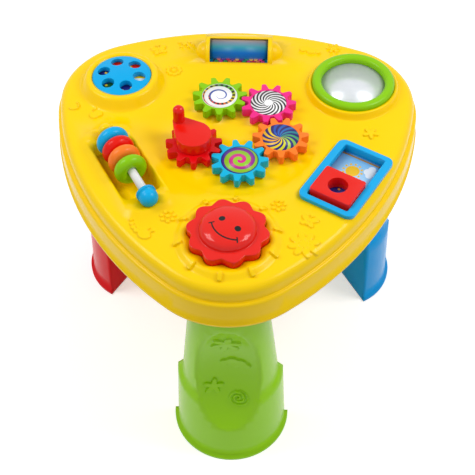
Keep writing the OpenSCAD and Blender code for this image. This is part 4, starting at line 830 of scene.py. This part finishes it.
def plate_faces(top, bottom):
    """Faces of a closed plate between two grids of vertex numbers with the same keys."""
    faces = []
    cells = {(i, j) for i, j in top if all((i + a, j + b) in top for a in (0, 1) for b in (0, 1))}
    for i, j in sorted(cells):
        corners = [(i, j), (i + 1, j), (i + 1, j + 1), (i, j + 1)]
        faces.append([top[c] for c in corners])
        faces.append([bottom[c] for c in reversed(corners)])
        for (di, dj), (a, b) in SIDES.items():
            if (i + di, j + dj) not in cells:
                p, q = corners[a], corners[b]
                faces.append([top[q], top[p], bottom[p], bottom[q]])
    return faces


def relief(name, node, body, place, across, up, size, shape, height, step=0.5, scale=1.0):
    """A raised shape moulded on a node, laid on its surface along parallel rays."""
    across, up, place = Vector(across).normalized(), Vector(up).normalized(), Vector(place)
    out = across.cross(up).normalized()
    surface = BVHTree.FromPolygons([v.co for v in NODES[node].data.vertices],
                                   [p.vertices for p in NODES[node].data.polygons])
    half_w, half_h = size[0] * scale / 2, size[1] * scale / 2
    lift = PROBE_LIFT * MM
    top, bottom, vertices = {}, {}, []
    for i in range(int(2 * half_w / step) + 1):
        for j in range(int(2 * half_h / step) + 1):
            x, y = i * step - half_w, j * step - half_h
            inside = -shape(x / scale, y / scale) * scale
            if inside < -MARGIN:
                continue
            share = max(0.0, min(1.0, inside / FLANK_W + FLANK_ON_EDGE))
            rise = height * share * share * (3 - 2 * share) - SINK * (1 - share)
            start = place + across * (x * MM) + up * (y * MM) + out * lift
            hit, normal, _, _ = surface.ray_cast(start, -out, 2 * lift)
            if hit is None:
                continue
            if normal.dot(out) < 0:
                normal = -normal
            top[i, j] = len(vertices)
            vertices.append(hit + normal * (rise * MM))
            bottom[i, j] = len(vertices)
            vertices.append(hit - normal * (ROOT * MM))
    faces = plate_faces(top, bottom)
    used = sorted({v for f in faces for v in f})
    renumbered = {v: k for k, v in enumerate(used)}
    mesh = bpy.data.meshes.new(name)
    mesh.from_pydata([vertices[v] for v in used], [],
                     [[renumbered[v] for v in f] for f in faces])
    mesh.update()
    mesh.shade_smooth()
    mesh.set_sharp_from_angle(angle=CREASE_ANGLE)
    mesh.materials.append(NODES[node].data.materials[0])
    made = add_object(name, mesh)
    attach(made, body)


# Name, place from the middle of the table, turn in degrees, shape, and the size of its field.
TOP_MOTIFS = [
    ("motif_butterfly_back", (-88.0, 125.9), 20, butterfly, (20, 20)),
    ("motif_dots", (-61.3, 136.6), 10, dots, (24, 16)),
    ("motif_daisy_left", (-69.4, 92.9), 0, ring_daisy(9, 6.0, 2.2, 2.6), (20, 20)),
    ("motif_curl", (-170.0, 33.6), 40, leaf_curl, (16, 14)),
    ("motif_apple", (-145.3, 21.5), 35, apple, (18, 22)),
    ("motif_flower_left", (-58.6, -116.8), 15, ring_daisy(7, 5.6, 2.1, 2.2), (20, 20)),
    ("motif_crawling_bug", (-84.0, -134.0), -32, crawling_bug, (34, 20)),
    ("motif_flower_right", (47.0, -99.1), 10, ring_daisy(7, 5.4, 2.0, 2.0), (20, 20)),
    ("motif_butterfly_front", (75.8, -118.6), -25, butterfly, (20, 20)),
    ("motif_big_flower", (71.4, -147.2), 12, daisy(8, 9.0, 5.2, 3.2, 4.4), (34, 34)),
    ("motif_star", (139.3, 2.7), -15, star, (20, 20)),
    ("motif_cloud", (77.8, 130.8), -12, cloud, (30, 16)),
    ("motif_flower_back", (103.7, 135.0), 0, daisy(6, 4.8, 2.8, 1.8, 2.0), (20, 20)),
]
MOTIF_H = 2.0
MOTIF_SCALE = 1.1

for motif_name, (mx, my), motif_turn, motif_shape, motif_size in TOP_MOTIFS:
    turn = Matrix.Rotation(math.radians(motif_turn), 3, "Z")
    relief(motif_name, "top_shell", "table", (mx * MM, my * MM + MIDDLE.y, SURFACE_Z),
           turn @ Vector((1, 0, 0)), turn @ Vector((0, 1, 0)), motif_size, motif_shape,
           MOTIF_H, scale=MOTIF_SCALE)

SUN_RAYS = 10
RAY_FIRST = math.radians(83.6)
RAY_IN, RAY_OUT, RAY_HALF_W = 45.6, 50.0, 2.4
RAY_H = 2.8
RAY_PROBE_Z = SURFACE_Z + 3 * MM


def ray_shape(x, y):
    half_l = (RAY_OUT - RAY_IN) / 2
    return bar(x, y, 0, -half_l, 0, half_l, RAY_HALF_W)


for ray in range(SUN_RAYS):
    angle = RAY_FIRST - TAU * ray / SUN_RAYS
    outward = Vector((math.cos(angle), math.sin(angle), 0))
    ray_place = Vector((SUN.x, SUN.y, RAY_PROBE_Z)) + outward * ((RAY_IN + RAY_OUT) / 2 * MM)
    relief(f"sun_ray_{ray}", "top_shell", "table", ray_place,
           outward.cross(Vector((0, 0, 1))), outward, (8, 12), ray_shape, RAY_H, step=0.4)

LEG_DIRECTIONS = {"leg_front": 270, "leg_back_left": 150, "leg_back_right": 30}
LEG_PROBE_R = 195  # from the middle of the table to just outside a leg
# Name, height, place to the side, turn in degrees, shape, and the size of its field.
LEG_MOTIFS = [
    ("flower", 191, -1.5, 18, daisy(6, 6.5, 4.6, 2.6, 2.6), (26, 26)),
    ("cloud", 152, 7.0, -8, cloud, (30, 16)),
    ("star", 113, -16.0, 10, star, (20, 20)),
    ("snail", 96, 10.0, 0, snail, (20, 20)),
]
LEG_MOTIF_H = 1.9
LEG_MOTIF_SCALE = 1.5

for leg_node, direction in LEG_DIRECTIONS.items():
    a = math.radians(direction)
    outward = Vector((math.cos(a), math.sin(a), 0))
    sideways = Vector((0, 0, 1)).cross(outward)
    for motif_name, z, offset, motif_turn, motif_shape, motif_size in LEG_MOTIFS:
        turn = Matrix.Rotation(math.radians(motif_turn), 3, outward)
        spot = (MIDDLE + outward * (LEG_PROBE_R * MM) + sideways * (offset * MM)
                + Vector((0, 0, z * MM)))
        relief(f"{leg_node}_{motif_name}", leg_node, "table", spot, turn @ sideways,
               turn @ Vector((0, 0, 1)), motif_size, motif_shape, LEG_MOTIF_H,
               step=0.6, scale=LEG_MOTIF_SCALE)


# ---- Studio ----

SKY_LIGHT = 0.48  # of the white sky on the object; the backdrop itself shows at 1
FLOOR_REACH = 40.0
FLOOR_GREY = 0.86
FLOOR_GLOW, FLOOR_GLOW_GAIN = 0.45, 0.17  # near the object, and how much is added far from it
GLOW_TURN_R, GLOW_TURN_HALF_W = 1.3, 0.6  # where it is added
LAMP_W = 6.4
RIGHT_LAMP_GAIN = 1.15
LAMP_SIZE = 0.55
LAMP_DISTANCE = 1.25


def backdrop_strength(tree):
    """1 for camera, glossy and transmission rays, else 0."""
    path = tree.nodes.new("ShaderNodeLightPath")
    seen = path.outputs["Is Camera Ray"]
    for name in ("Is Glossy Ray", "Is Transmission Ray"):
        either = tree.nodes.new("ShaderNodeMath")
        either.operation = "MAXIMUM"
        tree.links.new(seen, either.inputs[0])
        tree.links.new(path.outputs[name], either.inputs[1])
        seen = either.outputs[0]
    return seen


world = bpy.data.worlds.new("studio")
bpy.context.scene.world = world
world.use_nodes = True
sky = world.node_tree.nodes["Background"]
sky.inputs["Color"].default_value = (1, 1, 1, 1)
level = world.node_tree.nodes.new("ShaderNodeMapRange")
world.node_tree.links.new(backdrop_strength(world.node_tree), level.inputs["Value"])
level.inputs["To Min"].default_value = SKY_LIGHT
level.inputs["To Max"].default_value = 1.0
world.node_tree.links.new(level.outputs[0], sky.inputs["Strength"])

floor_mesh = bpy.data.meshes.new("floor")
floor_corners = ((-1, -1), (1, -1), (1, 1), (-1, 1))
floor_mesh.from_pydata([(x * FLOOR_REACH, y * FLOOR_REACH, 0) for x, y in floor_corners],
                       [], [(0, 1, 2, 3)])
floor = add_object("floor", floor_mesh)
paint = Graph("floor_white")
floor_x, floor_y, _ = paint.axes((0, 0, 0))
far_off = paint.step(paint.polar(floor_x, floor_y)[0], GLOW_TURN_R, GLOW_TURN_HALF_W)
glow = paint.scaled(far_off, FLOOR_GLOW_GAIN, FLOOR_GLOW)
paint.set(Base_Color=(FLOOR_GREY, FLOOR_GREY, FLOOR_GREY, 1), Roughness=0.9,
          Specular_IOR_Level=0.0, Emission_Color=(1, 1, 1, 1),
          Emission_Strength=paint.times(backdrop_strength(paint.tree), glow))
floor_mesh.materials.append(paint.material)


def softbox(name, direction, watts):
    """A square lamp that looks at the middle of the play surface."""
    data = bpy.data.lights.new(name, "AREA")
    data.shape = "SQUARE"
    data.size = LAMP_SIZE
    data.energy = watts
    toward = Vector(direction).normalized()
    lamp = add_object(name, data)
    lamp.location = Vector((0, MIDDLE.y, SURFACE_Z)) + toward * LAMP_DISTANCE
    lamp.rotation_euler = (-toward).to_track_quat("-Z", "Y").to_euler()


softbox("softbox_left", (-0.64, -0.02, 0.77), LAMP_W)
softbox("softbox_right", (0.64, -0.02, 0.77), LAMP_W * RIGHT_LAMP_GAIN)


# ---- Camera ----

CAMERA_AZIMUTH = math.radians(2.823)
CAMERA_ELEVATION = math.radians(49.914)
CAMERA_ROLL = math.radians(-0.650)
CAMERA_PLACE = Vector((40.9, -789.2, 1076.1)) * MM + MIDDLE
CAMERA_LENS = 81.293
SENSOR_W = 36.0
CLIP_FROM, CLIP_TO = 0.05, 50

back = Vector((math.sin(CAMERA_AZIMUTH) * math.cos(CAMERA_ELEVATION),
               -math.cos(CAMERA_AZIMUTH) * math.cos(CAMERA_ELEVATION),
               math.sin(CAMERA_ELEVATION)))
level_right = (-back).cross(Vector((0, 0, 1))).normalized()
level_up = level_right.cross(-back)
right = level_right * math.cos(CAMERA_ROLL) + level_up * math.sin(CAMERA_ROLL)
upward = level_up * math.cos(CAMERA_ROLL) - level_right * math.sin(CAMERA_ROLL)
camera_turn = Matrix((right, upward, back)).transposed().to_4x4()
camera_data = bpy.data.cameras.new("camera")
camera_data.lens = CAMERA_LENS
camera_data.sensor_width = SENSOR_W
camera_data.clip_start = CLIP_FROM
camera_data.clip_end = CLIP_TO
camera = add_object("camera", camera_data)
camera.matrix_world = Matrix.Translation(CAMERA_PLACE) @ camera_turn
bpy.context.scene.camera = camera
bpy.context.scene.view_settings.view_transform = "Standard"
